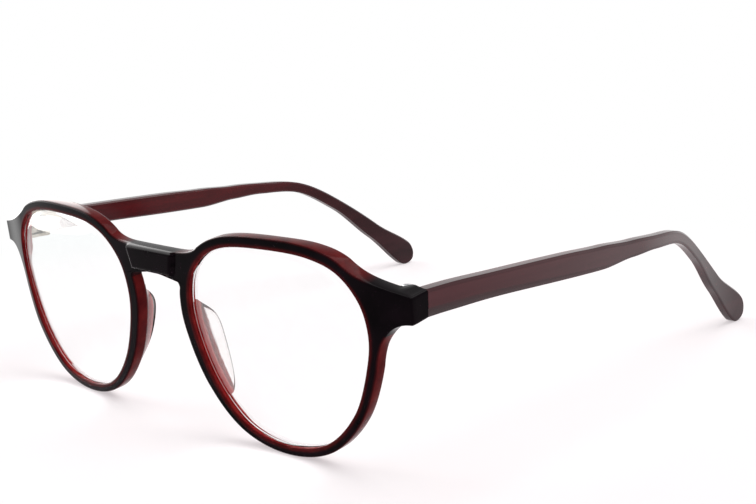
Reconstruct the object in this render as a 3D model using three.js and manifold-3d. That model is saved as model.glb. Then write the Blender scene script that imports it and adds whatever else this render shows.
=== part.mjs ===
// Acetate eyeglasses with crown-panto rims, a keyhole bridge and temples on five-knuckle hinges.
// Millimetres. The fronts of the rims face -Y, the temples run along +Y, +Z is up, and x = 0 is the
// mirror plane. The pair stands with its temples open, on its lower rims and its temple tips.

import * as THREE from 'three';
import { mergeVertices } from 'three/addons/utils/BufferGeometryUtils.js';
import Module from 'manifold-3d';

const wasm = await Module();
wasm.setup();

// Half the front's width, which the lens openings and the bow follow.
const END_HALF_WIDTH = 69.7;

// Lens shape: the opening's front edge, about its own middle.
const LENS_WIDTH_SHARE = 0.3515;
const LENS_CENTRE_SHARE = 0.505;
const LENS_HALF_WIDTH = LENS_WIDTH_SHARE * END_HALF_WIDTH;
const LENS_HALF_HEIGHT = 21.7;
const LENS_CENTRE_X = LENS_CENTRE_SHARE * END_HALF_WIDTH;
const LENS_CENTRE_Z = 23.49;
// Hand-chosen points of the outline, as shares of the half width and the half height, anticlockwise
// from the temple side: an angular upper temple corner, an upper nose corner and a round lower half.
const lensOutlineShares = [
  [0.965, 0.0], [1.0, 0.305], [0.94, 0.61], [0.76, 0.85], [0.49, 0.965], [0.0, 1.0],
  [-0.49, 0.955], [-0.74, 0.83], [-0.92, 0.6], [-0.985, 0.3], [-0.955, 0.0],
  [-0.77, -0.505], [-0.45, -0.875], [0.0, -1.0], [0.455, -0.89], [0.79, -0.515],
];
const TEMPLE_SIDE_KNOT = 0;
const UPPER_TEMPLE_CORNER_KNOT = 3.1;
const UPPER_NOSE_CORNER_KNOT = 7;
const NOSE_KNOT = 9;

// Rim
const RIM_TOP_WIDTH = 2.5;
const RIM_TEMPLE_WIDTH = 2.2;
const RIM_BOTTOM_WIDTH = 2.1;
const RIM_NOSE_WIDTH = 3.3;
const RIM_DEPTH = 3.05;
const RIM_EDGE_ROUND = 0.45;
const GROOVE_DEPTH = 0.8;
const GROOVE_MOUTH = 1.7;
const GROOVE_FLOOR = 0.5;
const GROOVE_SETBACK = 1.55;

// Front
const FRONT_TILT_DEG = 5.6;
const FRONT_BOW = 5.6;
const END_SWEEP = 1.3;
const SWEEP_START_SHARE = 0.818;
const BROW_GAIN = 1;
const BROW_START_SHARE = 0.545;
const BROW_END_SHARE = 0.746;
const BROW_GAIN_FOOT = 4;

// Bridge, measured from the lens centre line
const BRIDGE_TOP = 18.1;
const BRIDGE_ARCH = 12.1;
const BRIDGE_TOP_HALF_WIDTH = 7.2;
const BRIDGE_ARCH_HALF_WIDTH = 4.2;
const KEYHOLE_HALF_WIDTH = 8.3;
const KEYHOLE_HEIGHT = 10;
const BRIDGE_PROUD = 1;
const BRIDGE_PAD_HALF_WIDTH = 8.4;
const BRIDGE_PAD_FOOT_HALF_WIDTH = 7;
const BRIDGE_PAD_BEVEL = 0.9;
const BRIDGE_PAD_FOOT_INSET = 0.3;
const BRIDGE_PAD_ROOT = 1.4;
const NOTCH_PULL_SHARE = 0.75;
const NECK_PULL_SHARE = 0.55;

// Endpiece, measured from the lens centre line
const END_TOP = 15.15;
const END_BOTTOM = 9.35;
const END_CORNER_ROUND = 0.7;
// Pulls of the two curves that join the rim to the endpiece, as shares of their run across and up.
const shoulderPullShares = [0.2, 0.42];
const endPullShares = [0.5, 0.72];
const footPullShares = [0.55, 0];
const sidePullShares = [0.86, 0.3];
const END_GAIN = 3;
const END_GAIN_RAMP = 1.4;
const JOINT_Y = 10.4;
const JOINT_GAP = 0.1;

// Lenses
const LENS_THICKNESS = 1.6;
const LENS_DOME = 1.9;
const LENS_SEAT_GAP = 0.18;
const LENS_EDGE_RELIEF = 0.25;
const LENS_BEVEL_FLAT = 0.3;
const lensRingShares = [0.55, 0.85, 1];

// Nose pads
const PAD_HEIGHT = 4.7;
const PAD_OVERHANG = 0.6;
const PAD_GLUE_GAP = 0.15;
const PAD_INSET = 0.35;
const PAD_START_KNOT = 8.9;
const PAD_END_KNOT = 11.3;
// The section across a pad: shares of the base's width inwards from its nose edge, where more than one
// overhangs the lens opening, and shares of the height.
const padSectionShares = [
  [0.0, 0.0], [0.3, 0.4], [0.62, 0.76], [0.88, 0.96], [1.02, 1.0], [1.14, 0.93], [1.08, 0.5], [0.95, 0.0],
];

// Temples: the outer face in plan, and the side profile
const TEMPLE_THICKNESS = 3.2;
const TEMPLE_TIP_THICKNESS = 2.6;
const TEMPLE_REACH = 142.6;
const TEMPLE_SPLAY = 1.5;
const TEMPLE_TUCK = 8;
const SPLAY_END_SHARE = 0.6;
const TUCK_START_SHARE = 0.54;
const TEMPLE_CENTRE_Z = 36.95;
const TEMPLE_HEIGHT = 5.9;
const TEMPLE_CHAMFER = 1.5;
const CHAMFER_END_SHARE = 0.55;
const CHAMFER_RUN_SHARE = 0.5;
const TEMPLE_EDGE_ROUND = 0.45;
const PADDLE_END_ROUND = 4.8;
const PADDLE_FULLNESS_SHARE = 0.9;
const PADDLE_FLAT_SHARE = 0.08;
// The centre line in the side view: shares of the reach behind the joint and of the centre height.
const templeLineShares = [
  [0.0, 1.0], [0.05, 1.0], [0.155, 0.99], [0.323, 0.962], [0.422, 0.944], [0.513, 0.94],
  [0.591, 0.93], [0.696, 0.88], [0.798, 0.677], [0.901, 0.384], [1.0, 0.116],
];
// The height across the line, as shares of the height at the joint, at the same places.
const templeHeightShares = [1.0, 0.99, 0.93, 0.97, 0.93, 0.68, 0.56, 0.52, 0.56, 0.83, 1.35];

// Core wires
const WIRE_RADIUS = 0.65;
const WIRE_CLEARANCE = 0.15;
const WIRE_INSET = 1.25;
const WIRE_SETBACK = 0.4;
const WIRE_END_SHARE = 0.9;
const WIRE_END_CLEARANCE = 0.5;

// Hinges
const BARREL_RADIUS = 1.4;
// The pin stands in from the temple's inner face and back from the joint, so that a folded temple
// passes behind the other lens.
const PIN_INSET = 4;
const PIN_SETBACK = 2.3;
const KNUCKLE_HEIGHT = 0.8;
const KNUCKLE_GAP = 0.06;
const KNUCKLE_COUNT = 5;
const HINGE_PLATE_THICKNESS = 0.8;
const HINGE_PLATE_HEIGHT = 4.3;
const HINGE_DROP = 0.25;
const HINGE_SEAT_SETBACK = 2.4;
const FRONT_PLATE_REACH_IN = 1.7;
const FRONT_PLATE_REACH_OUT = 3;
const TEMPLE_PLATE_LENGTH = 9.5;
const ANCHOR_LENGTH = 1.2;
const ANCHOR_WIDTH = 2.2;
const ANCHOR_HEIGHT = 2.4;
const WEB_HALF_WIDTH = 1.2;
const RECESS_CLEARANCE = 0.1;
const SCREW_RADIUS = 0.6;
const SCREW_CLEARANCE = 0.06;
const SCREW_HEAD_RADIUS = 1.05;
const SCREW_HEAD_HEIGHT = 0.45;
const SCREW_SLOT_WIDTH = 0.25;
const SCREW_SLOT_DEPTH = 0.2;
const SCREW_TAIL = 0.15;

// Fineness
const LENS_STEPS = 64;
const BARREL_SIDES = 16;
const WIRE_SIDES = 8;
const TEMPLE_STEPS = 34;
const WIRE_STEPS = 24;
const BEND_STEPS = 8;
const CORNER_STEPS = 3;
const NECK_STEPS = 4;
const EDGE_STEPS = 2;
const PADDLE_STEPS = 5;
const CUT_OVERRUN = 2;
const BACK_CUT_REACH = 12;

const templeInnerX = END_HALF_WIDTH - TEMPLE_THICKNESS;

const lensCurve = new THREE.CatmullRomCurve3(
  lensOutlineShares.map(([across, up]) => (
    new THREE.Vector3(across * LENS_HALF_WIDTH, up * LENS_HALF_HEIGHT, 0)
  )),
  true,
  'centripetal',
);

// Smooth step from 0 to 1.
function ease(value) {
  const held = THREE.MathUtils.clamp(value, 0, 1);
  return held * held * (3 - 2 * held);
}

// A point of the lens outline at a knot, with its outward normal.
function lensPoint(knot) {
  const count = lensOutlineShares.length;
  const share = THREE.MathUtils.euclideanModulo(knot / count, 1);
  const point = lensCurve.getPoint(share);
  const tangent = lensCurve.getTangent(share);
  return { x: LENS_CENTRE_X + point.x, v: point.y, nx: tangent.y, nv: -tangent.x };
}

// The rim's width where its normal points this way.
function rimWidth(nx, nv) {
  const sideWidth = nx > 0 ? RIM_TEMPLE_WIDTH : RIM_NOSE_WIDTH;
  const levelWidth = nv > 0 ? RIM_TOP_WIDTH : RIM_BOTTOM_WIDTH;
  return THREE.MathUtils.lerp(levelWidth, sideWidth, nx ** 4);
}

function rimOuterPoint(knot) {
  const lip = lensPoint(knot);
  const width = rimWidth(lip.nx, lip.nv);
  return new THREE.Vector2(lip.x + lip.nx * width, lip.v + lip.nv * width);
}

// Moves a point of the flat front, at x across, v above the lens centre and w behind the front face,
// onto the bowed and tilted front. Behind the groove the rim grows deeper towards the brow, and the
// endpiece reaches back past the joint.
function placeOnFront(x, v, w) {
  const side = Math.abs(x);
  const across = side / END_HALF_WIDTH;
  const bow = FRONT_BOW * across ** 2;
  const sweep = END_SWEEP * ease((across - SWEEP_START_SHARE) / (1 - SWEEP_START_SHARE));
  const grooveBack = GROOVE_SETBACK + GROOVE_MOUTH / 2;
  const backShare = THREE.MathUtils.clamp((w - grooveBack) / (RIM_DEPTH - RIM_EDGE_ROUND - grooveBack), 0, 1);
  const browAcross = ease((across - BROW_START_SHARE) / (BROW_END_SHARE - BROW_START_SHARE));
  const browUp = ease((v - BROW_GAIN_FOOT) / (END_BOTTOM - BROW_GAIN_FOOT));
  const endAcross = ease((side - templeInnerX) / END_GAIN_RAMP + 1);
  const gain = BROW_GAIN * browAcross * browUp + END_GAIN * endAcross * browUp;
  const depth = bow + sweep + w + gain * backShare;
  const tilt = THREE.MathUtils.degToRad(FRONT_TILT_DEG);
  const y = depth * Math.cos(tilt) - v * Math.sin(tilt);
  const z = LENS_CENTRE_Z + v * Math.cos(tilt) + depth * Math.sin(tilt);
  return new THREE.Vector3(x, y, z);
}

// Applies a point-to-point map to every vertex.
function mapVertices(geometry, map) {
  const position = geometry.getAttribute('position');
  for (let i = 0; i < position.count; i += 1) {
    const moved = map(position.getX(i), position.getY(i), position.getZ(i));
    position.setXYZ(i, moved.x, moved.y, moved.z);
  }
  position.needsUpdate = true;
  return geometry;
}

// Only positions, with shared vertices merged.
function weld(geometry) {
  const bare = geometry.clone();
  bare.deleteAttribute('normal');
  bare.deleteAttribute('uv');
  return mergeVertices(bare);
}

function toSolid(geometry) {
  const welded = weld(geometry);
  const mesh = new wasm.Mesh({
    numProp: 3,
    vertProperties: new Float32Array(welded.getAttribute('position').array),
    triVerts: new Uint32Array(welded.getIndex().array),
  });
  return new wasm.Manifold(mesh);
}

function toGeometry(solid) {
  const mesh = solid.getMesh();
  const geometry = new THREE.BufferGeometry();
  geometry.setAttribute('position', new THREE.BufferAttribute(new Float32Array(mesh.vertProperties), 3));
  geometry.setIndex(new THREE.BufferAttribute(new Uint32Array(mesh.triVerts), 1));
  geometry.computeVertexNormals();
  return geometry;
}

// Turns every face round, for a geometry that a map has turned inside out.
function turnFaces(geometry) {
  const index = geometry.getIndex();
  for (let i = 0; i < index.count; i += 3) {
    const second = index.getX(i + 1);
    index.setX(i + 1, index.getX(i + 2));
    index.setX(i + 2, second);
  }
  geometry.computeVertexNormals();
  return geometry;
}

// The mirror image across x = 0.
function mirrored(geometry) {
  return turnFaces(mapVertices(weld(geometry), (x, y, z) => new THREE.Vector3(-x, y, z)));
}

function signedVolume(points, index) {
  let volume = 0;
  const corner = [new THREE.Vector3(), new THREE.Vector3(), new THREE.Vector3()];
  for (let i = 0; i < index.length; i += 3) {
    corner.forEach((vector, j) => vector.copy(points[index[i + j]]));
    volume += corner[0].dot(corner[1].cross(corner[2]));
  }
  return volume;
}

// Skins a row of rings that all have the same number of points. A closed row runs round like a tyre,
// and an open one is capped at both ends by fans about the end rings' middles.
function loft(rings, closedRow) {
  const size = rings[0].length;
  const points = rings.flat();
  const index = [];
  const rows = closedRow ? rings.length : rings.length - 1;
  for (let row = 0; row < rows; row += 1) {
    const here = row * size;
    const next = ((row + 1) % rings.length) * size;
    for (let i = 0; i < size; i += 1) {
      const j = (i + 1) % size;
      index.push(here + i, next + i, next + j, here + i, next + j, here + j);
    }
  }
  if (!closedRow) {
    const last = (rings.length - 1) * size;
    const ends = [[0, 1], [last, -1]];
    for (const [start, turn] of ends) {
      const middle = new THREE.Vector3();
      points.slice(start, start + size).forEach((point) => middle.add(point));
      points.push(middle.divideScalar(size));
      for (let i = 0; i < size; i += 1) {
        const edge = turn > 0 ? [start + i, start + ((i + 1) % size)] : [start + ((i + 1) % size), start + i];
        index.push(points.length - 1, ...edge);
      }
    }
  }
  if (signedVolume(points, index) < 0) index.reverse();
  const geometry = new THREE.BufferGeometry();
  geometry.setFromPoints(points);
  geometry.setIndex(index);
  geometry.computeVertexNormals();
  return geometry;
}

function boxSolid(low, high) {
  const size = high.clone().sub(low);
  const box = new THREE.BoxGeometry(size.x, size.y, size.z);
  box.translate((low.x + high.x) / 2, (low.y + high.y) / 2, (low.z + high.z) / 2);
  return toSolid(box);
}

// An upright cylinder.
function uprightSolid(x, y, bottom, top, radius) {
  const cylinder = new THREE.CylinderGeometry(radius, radius, top - bottom, BARREL_SIDES);
  cylinder.rotateX(Math.PI / 2);
  cylinder.translate(x, y, (bottom + top) / 2);
  return toSolid(cylinder);
}

function finish(colour, roughness, metalness) {
  return new THREE.MeshStandardMaterial({ color: colour, roughness, metalness });
}

const frontAcetate = () => finish(0x1a1013, 0.22, 0);
const templeAcetate = () => finish(0x3d1a1e, 0.25, 0);
const padAcetate = () => finish(0xd9c2be, 0.15, 0);
const clearLens = () => finish(0xf2f6f7, 0.05, 0);
const hingeMetal = () => finish(0xb9b4a8, 0.35, 0.9);
const wireMetal = () => finish(0x9a9a9c, 0.4, 0.9);

// A point at shares of the way across and up from one point to another.
function partWay(from, to, [across, up]) {
  const x = THREE.MathUtils.lerp(from.x, to.x, across);
  return new THREE.Vector2(x, THREE.MathUtils.lerp(from.y, to.y, up));
}

// The right half of the front's outline, from the end of the bridge's top edge, over the rim and round
// the endpiece, under the lens and up the nose side to the start of the arch's flat.
function frontHalfOutline() {
  const points = [];
  const add = (curve, steps) => points.push(...curve.getPoints(steps).slice(1));
  const rimStretch = (from, to, steps) => {
    for (let i = 0; i <= steps; i += 1) points.push(rimOuterPoint(from + ((to - from) * i) / steps));
  };
  points.push(new THREE.Vector2(BRIDGE_TOP_HALF_WIDTH, BRIDGE_TOP));
  const rimStart = rimOuterPoint(UPPER_NOSE_CORNER_KNOT);
  const notchX = THREE.MathUtils.lerp(BRIDGE_TOP_HALF_WIDTH, rimStart.x, NOTCH_PULL_SHARE);
  const notch = new THREE.Vector2(notchX, BRIDGE_TOP);
  add(new THREE.QuadraticBezierCurve(points.at(-1), notch, rimStart), BEND_STEPS);
  points.pop();
  rimStretch(UPPER_NOSE_CORNER_KNOT, UPPER_TEMPLE_CORNER_KNOT, 2 * BEND_STEPS);
  const shoulder = points.at(-1);
  const endTop = new THREE.Vector2(END_HALF_WIDTH - END_CORNER_ROUND, END_TOP);
  const shoulderPull = partWay(shoulder, endTop, shoulderPullShares);
  const endPull = partWay(shoulder, endTop, endPullShares);
  add(new THREE.CubicBezierCurve(shoulder, shoulderPull, endPull, endTop), BEND_STEPS);
  const sideTop = new THREE.Vector2(END_HALF_WIDTH, END_TOP - END_CORNER_ROUND);
  const topCorner = new THREE.Vector2(END_HALF_WIDTH, END_TOP);
  add(new THREE.QuadraticBezierCurve(endTop, topCorner, sideTop), CORNER_STEPS);
  const sideFoot = new THREE.Vector2(END_HALF_WIDTH, END_BOTTOM + END_CORNER_ROUND);
  points.push(sideFoot);
  const endFoot = new THREE.Vector2(END_HALF_WIDTH - END_CORNER_ROUND, END_BOTTOM);
  const footCorner = new THREE.Vector2(END_HALF_WIDTH, END_BOTTOM);
  add(new THREE.QuadraticBezierCurve(sideFoot, footCorner, endFoot), CORNER_STEPS);
  const rimSide = rimOuterPoint(TEMPLE_SIDE_KNOT);
  const footPull = partWay(endFoot, rimSide, footPullShares);
  const sidePull = partWay(endFoot, rimSide, sidePullShares);
  add(new THREE.CubicBezierCurve(endFoot, footPull, sidePull, rimSide), BEND_STEPS);
  points.pop();
  rimStretch(TEMPLE_SIDE_KNOT, NOSE_KNOT - lensOutlineShares.length, 4 * BEND_STEPS);
  const neck = points.at(-1);
  const keyhole = new THREE.Vector2(KEYHOLE_HALF_WIDTH, KEYHOLE_HEIGHT);
  const neckPull = new THREE.Vector2(neck.x, THREE.MathUtils.lerp(neck.y, KEYHOLE_HEIGHT, NECK_PULL_SHARE));
  add(new THREE.QuadraticBezierCurve(neck, neckPull, keyhole), NECK_STEPS);
  const archEnd = new THREE.Vector2(BRIDGE_ARCH_HALF_WIDTH, BRIDGE_ARCH);
  const archPull = new THREE.Vector2(KEYHOLE_HALF_WIDTH, BRIDGE_ARCH);
  add(new THREE.QuadraticBezierCurve(keyhole, archPull, archEnd), BEND_STEPS);
  return points;
}

// Extrudes a shape of the flat front backwards from a depth, with bevelled edges inside its outline.
function extrudeOnFront(shape, start, depth, bevel) {
  const geometry = new THREE.ExtrudeGeometry(shape, {
    depth: depth - 2 * bevel,
    steps: 1,
    bevelEnabled: true,
    bevelThickness: bevel,
    bevelSize: bevel,
    bevelOffset: -bevel,
    bevelSegments: EDGE_STEPS,
  });
  geometry.translate(0, 0, start + bevel);
  return geometry;
}

// The lens outline moved out by a distance, at a depth of the flat front.
function lensRing(side, out, depth) {
  const ring = [];
  for (let i = 0; i < LENS_STEPS; i += 1) {
    const lip = lensPoint((i / LENS_STEPS) * lensOutlineShares.length);
    ring.push(new THREE.Vector3(side * (lip.x + lip.nx * out), lip.v + lip.nv * out, depth));
  }
  return ring;
}

// What the mill takes out for one lens: the opening with rounded edges and the V groove round it.
function openingCutter(side) {
  const mouthHalf = GROOVE_MOUTH / 2;
  const floorHalf = GROOVE_FLOOR / 2;
  const roundOff = RIM_EDGE_ROUND * Math.SQRT1_2;
  const steps = [
    [RIM_EDGE_ROUND, -CUT_OVERRUN],
    [RIM_EDGE_ROUND, 0],
    [RIM_EDGE_ROUND - roundOff, RIM_EDGE_ROUND - roundOff],
    [0, RIM_EDGE_ROUND],
    [0, GROOVE_SETBACK - mouthHalf],
    [GROOVE_DEPTH, GROOVE_SETBACK - floorHalf],
    [GROOVE_DEPTH, GROOVE_SETBACK + floorHalf],
    [0, GROOVE_SETBACK + mouthHalf],
    [0, RIM_DEPTH - RIM_EDGE_ROUND],
    [RIM_EDGE_ROUND - roundOff, RIM_DEPTH - RIM_EDGE_ROUND + roundOff],
    [RIM_EDGE_ROUND, RIM_DEPTH],
    [RIM_EDGE_ROUND, RIM_DEPTH + CUT_OVERRUN],
  ];
  return loft(steps.map(([out, depth]) => lensRing(side, out, depth)), false);
}

// The raised pad on the bridge's front, bevelled at its ends.
function bridgePad() {
  const foot = BRIDGE_ARCH + BRIDGE_PAD_FOOT_INSET;
  const outline = [
    new THREE.Vector2(-BRIDGE_PAD_HALF_WIDTH, BRIDGE_TOP),
    new THREE.Vector2(-BRIDGE_PAD_FOOT_HALF_WIDTH, foot),
    new THREE.Vector2(BRIDGE_PAD_FOOT_HALF_WIDTH, foot),
    new THREE.Vector2(BRIDGE_PAD_HALF_WIDTH, BRIDGE_TOP),
  ];
  const depth = BRIDGE_PROUD + BRIDGE_PAD_ROOT + BRIDGE_PAD_BEVEL;
  return extrudeOnFront(new THREE.Shape(outline), -BRIDGE_PROUD, depth, BRIDGE_PAD_BEVEL);
}

const hingeCentreZ = TEMPLE_CENTRE_Z - HINGE_DROP;
const pinX = templeInnerX - PIN_INSET;
const pinY = JOINT_Y + PIN_SETBACK;
const seatY = JOINT_Y - HINGE_SEAT_SETBACK;
const barrelHeight = KNUCKLE_COUNT * KNUCKLE_HEIGHT + (KNUCKLE_COUNT - 1) * KNUCKLE_GAP;
const barrelBottom = hingeCentreZ - barrelHeight / 2;

// The front hinge's plate and its anchor in the endpiece, grown by a clearance, on the +X side.
// With a clearance it is the recess, which runs out through the endpiece's back.
function frontPlateSolid(clearance) {
  const plateHalf = HINGE_PLATE_HEIGHT / 2 + clearance;
  const anchorHalf = ANCHOR_HEIGHT / 2 + clearance;
  const plate = boxSolid(
    new THREE.Vector3(
      pinX - FRONT_PLATE_REACH_IN - clearance,
      seatY - HINGE_PLATE_THICKNESS - clearance,
      hingeCentreZ - plateHalf,
    ),
    new THREE.Vector3(
      pinX + FRONT_PLATE_REACH_OUT + clearance,
      clearance > 0 ? JOINT_Y + CUT_OVERRUN : seatY,
      hingeCentreZ + plateHalf,
    ),
  );
  const anchor = boxSolid(
    new THREE.Vector3(
      pinX - ANCHOR_WIDTH / 2 - clearance,
      seatY - HINGE_PLATE_THICKNESS - ANCHOR_LENGTH - clearance,
      hingeCentreZ - anchorHalf,
    ),
    new THREE.Vector3(
      pinX + ANCHOR_WIDTH / 2 + clearance,
      seatY - HINGE_PLATE_THICKNESS / 2,
      hingeCentreZ + anchorHalf,
    ),
  );
  return plate.add(anchor);
}

// The temple hinge's plate in the temple's inner face, grown by a clearance, on the +X side.
// With a clearance it is the recess, which runs out through the inner face and the front end.
function templePlateSolid(clearance) {
  const start = JOINT_Y + JOINT_GAP + RECESS_CLEARANCE;
  const plateHalf = HINGE_PLATE_HEIGHT / 2 + clearance;
  return boxSolid(
    new THREE.Vector3(
      clearance > 0 ? templeInnerX - CUT_OVERRUN : templeInnerX,
      clearance > 0 ? JOINT_Y - CUT_OVERRUN : start,
      hingeCentreZ - plateHalf,
    ),
    new THREE.Vector3(
      templeInnerX + HINGE_PLATE_THICKNESS + clearance,
      start + TEMPLE_PLATE_LENGTH + clearance,
      hingeCentreZ + plateHalf,
    ),
  );
}

// The barrel's knuckles of one hinge half, each joined to its plate by a web.
function knuckles(first, webLow, webHigh) {
  let solid = null;
  for (let level = first; level < KNUCKLE_COUNT; level += 2) {
    const bottom = barrelBottom + level * (KNUCKLE_HEIGHT + KNUCKLE_GAP);
    const top = bottom + KNUCKLE_HEIGHT;
    const ring = uprightSolid(pinX, pinY, bottom, top, BARREL_RADIUS);
    const web = boxSolid(
      new THREE.Vector3(webLow.x, webLow.y, bottom),
      new THREE.Vector3(webHigh.x, webHigh.y, top),
    );
    const knuckle = ring.add(web);
    solid = solid ? solid.add(knuckle) : knuckle;
  }
  return solid;
}

function screwBore() {
  const radius = SCREW_RADIUS + SCREW_CLEARANCE;
  const bottom = barrelBottom - CUT_OVERRUN;
  return uprightSolid(pinX, pinY, bottom, barrelBottom + barrelHeight + CUT_OVERRUN, radius);
}

// Front half of the right hinge: a plate sunk in the endpiece and the outer and middle knuckles.
function frontHinge() {
  const webLow = new THREE.Vector2(pinX - WEB_HALF_WIDTH, seatY - HINGE_PLATE_THICKNESS / 2);
  const webHigh = new THREE.Vector2(pinX + WEB_HALF_WIDTH, pinY);
  const solid = frontPlateSolid(0).add(knuckles(0, webLow, webHigh)).subtract(screwBore());
  return toGeometry(solid);
}

// Temple half of the right hinge: a plate sunk in the temple and the knuckles between.
function templeHinge() {
  const webLow = new THREE.Vector2(pinX, pinY - WEB_HALF_WIDTH);
  const webHigh = new THREE.Vector2(templeInnerX + HINGE_PLATE_THICKNESS / 2, pinY + WEB_HALF_WIDTH);
  const solid = templePlateSolid(0).add(knuckles(1, webLow, webHigh)).subtract(screwBore());
  return toGeometry(solid);
}

// The hinge screw: a shank through the knuckles and a slotted head on top.
function hingeScrew() {
  const seat = barrelBottom + barrelHeight + KNUCKLE_GAP;
  const top = seat + SCREW_HEAD_HEIGHT;
  const reach = SCREW_HEAD_RADIUS + CUT_OVERRUN;
  const neck = seat + SCREW_HEAD_HEIGHT / 2;
  const shank = uprightSolid(pinX, pinY, barrelBottom - SCREW_TAIL, neck, SCREW_RADIUS);
  const head = uprightSolid(pinX, pinY, seat, top, SCREW_HEAD_RADIUS);
  const slot = boxSolid(
    new THREE.Vector3(pinX - reach, pinY - SCREW_SLOT_WIDTH / 2, top - SCREW_SLOT_DEPTH),
    new THREE.Vector3(pinX + reach, pinY + SCREW_SLOT_WIDTH / 2, top + CUT_OVERRUN),
  );
  return toGeometry(shank.add(head).subtract(slot));
}

// The milled front: rims with their grooves, bridge and endpieces, bowed and tilted, then cut for the
// temples and the hinges.
function frontFrame() {
  const half = frontHalfOutline();
  const other = half.map((point) => new THREE.Vector2(-point.x, point.y)).reverse();
  const shape = new THREE.Shape([...half, ...other]);
  let solid = toSolid(extrudeOnFront(shape, 0, RIM_DEPTH, RIM_EDGE_ROUND));
  solid = solid.add(toSolid(bridgePad()));
  for (const side of [1, -1]) {
    solid = solid.subtract(toSolid(openingCutter(side)));
  }
  solid = toSolid(turnFaces(mapVertices(toGeometry(solid), placeOnFront)));
  const backReach = JOINT_Y + BACK_CUT_REACH;
  const back = boxSolid(
    new THREE.Vector3(-END_HALF_WIDTH - CUT_OVERRUN, JOINT_Y, 0),
    new THREE.Vector3(END_HALF_WIDTH + CUT_OVERRUN, backReach, TEMPLE_CENTRE_Z + TEMPLE_HEIGHT),
  );
  solid = solid.subtract(back);
  const recess = frontPlateSolid(RECESS_CLEARANCE);
  solid = solid.subtract(recess);
  solid = solid.subtract(toSolid(mirrored(toGeometry(recess))));
  return toGeometry(solid);
}

// A lens: two domed faces and a bevelled edge that sits in the groove.
function lens() {
  const seatOut = GROOVE_DEPTH - LENS_SEAT_GAP;
  const ring = (share, out, depth) => lensRing(1, 0, 0).map((lip, i) => {
    const { nx, nv } = lensPoint((i / LENS_STEPS) * lensOutlineShares.length);
    const x = LENS_CENTRE_X + (lip.x - LENS_CENTRE_X) * share + nx * out;
    const dome = LENS_DOME * (1 - share ** 2);
    return placeOnFront(x, lip.y * share + nv * out, depth - dome);
  });
  const relief = (share) => (share < 1 ? 0 : -LENS_EDGE_RELIEF);
  const face = (depth) => lensRingShares.map((share) => ring(share, relief(share), depth));
  const rings = [
    ...face(GROOVE_SETBACK - LENS_THICKNESS / 2),
    ring(1, seatOut, GROOVE_SETBACK - LENS_BEVEL_FLAT / 2),
    ring(1, seatOut, GROOVE_SETBACK + LENS_BEVEL_FLAT / 2),
    ...face(GROOVE_SETBACK + LENS_THICKNESS / 2).reverse(),
  ];
  return loft(rings, false);
}

// A nose pad: a ridge along the nose side of the rim's back that leans over towards the lens, highest
// in its middle and rounded off at both ends.
function nosePad() {
  const rings = [];
  const steps = 2 * BEND_STEPS;
  for (let i = 0; i <= steps; i += 1) {
    const share = (1 - Math.cos((Math.PI * (i + 0.5)) / (steps + 1))) / 2;
    const lip = lensPoint(THREE.MathUtils.lerp(PAD_START_KNOT, PAD_END_KNOT, share));
    const rise = Math.sqrt(Math.sin(Math.PI * share));
    const base = rimWidth(lip.nx, lip.nv) - 2 * PAD_INSET;
    rings.push(padSectionShares.map(([across, up]) => {
      const lean = across > 1 ? 1 + (across - 1) * rise : across;
      const out = PAD_INSET + base * (1 - lean) - PAD_OVERHANG * up * rise;
      const depth = RIM_DEPTH + PAD_GLUE_GAP + PAD_HEIGHT * rise * up;
      return placeOnFront(lip.x + lip.nx * out, lip.v + lip.nv * out, depth);
    }));
  }
  return loft(rings, false);
}

// The temple's centre line in its side view, the height across it, and its outer face in plan.
const templeLine = new THREE.CatmullRomCurve3(
  templeLineShares.map(([back, up]) => new THREE.Vector3(0, back * TEMPLE_REACH, up * TEMPLE_CENTRE_Z)),
  false,
  'centripetal',
);

const templeLineLength = templeLine.getLength();

function templeHeight(share) {
  const place = share * (templeHeightShares.length - 1);
  const low = Math.min(Math.floor(place), templeHeightShares.length - 2);
  const blend = ease(place - low);
  return TEMPLE_HEIGHT * THREE.MathUtils.lerp(templeHeightShares[low], templeHeightShares[low + 1], blend);
}

function templeOuterX(y) {
  const back = Math.max(0, (y - JOINT_Y) / TEMPLE_REACH);
  const splayShare = Math.sin((Math.PI / 2) * Math.min(1, back / SPLAY_END_SHARE));
  const tuckShare = ease((back - TUCK_START_SHARE) / (1 - TUCK_START_SHARE));
  return END_HALF_WIDTH + TEMPLE_SPLAY * splayShare - TEMPLE_TUCK * tuckShare;
}

function templeThickness(y) {
  const back = THREE.MathUtils.clamp((y - JOINT_Y) / TEMPLE_REACH, 0, 1);
  return THREE.MathUtils.lerp(TEMPLE_THICKNESS, TEMPLE_TIP_THICKNESS, back);
}

// A place on the temple: a share of its line, which runs straight on before its start, a distance up
// across it and a depth in from the outer face.
function templePoint(share, up, inward) {
  const held = Math.max(0, share);
  const tangent = templeLine.getTangent(held);
  const centre = templeLine.getPoint(held).addScaledVector(tangent, (share - held) * templeLineLength);
  const y = JOINT_Y + JOINT_GAP + centre.y - tangent.z * up;
  const z = centre.z + tangent.y * up;
  return new THREE.Vector3(templeOuterX(y) - inward, y, z);
}

// One section across the temple: a rectangle with rounded edges and a chamfer low on the outer face.
function templeSection(share, height, chamfer, thickness) {
  const half = height / 2;
  const round = Math.min(TEMPLE_EDGE_ROUND, half / EDGE_STEPS);
  const cut = Math.min(chamfer, half);
  return [
    templePoint(share, half - round, 0),
    templePoint(share, half, round),
    templePoint(share, half, thickness - round),
    templePoint(share, half - round, thickness),
    templePoint(share, -half + round, thickness),
    templePoint(share, -half, thickness - round),
    templePoint(share, -half, cut * CHAMFER_RUN_SHARE),
    templePoint(share, -half + cut, 0),
  ];
}

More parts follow.
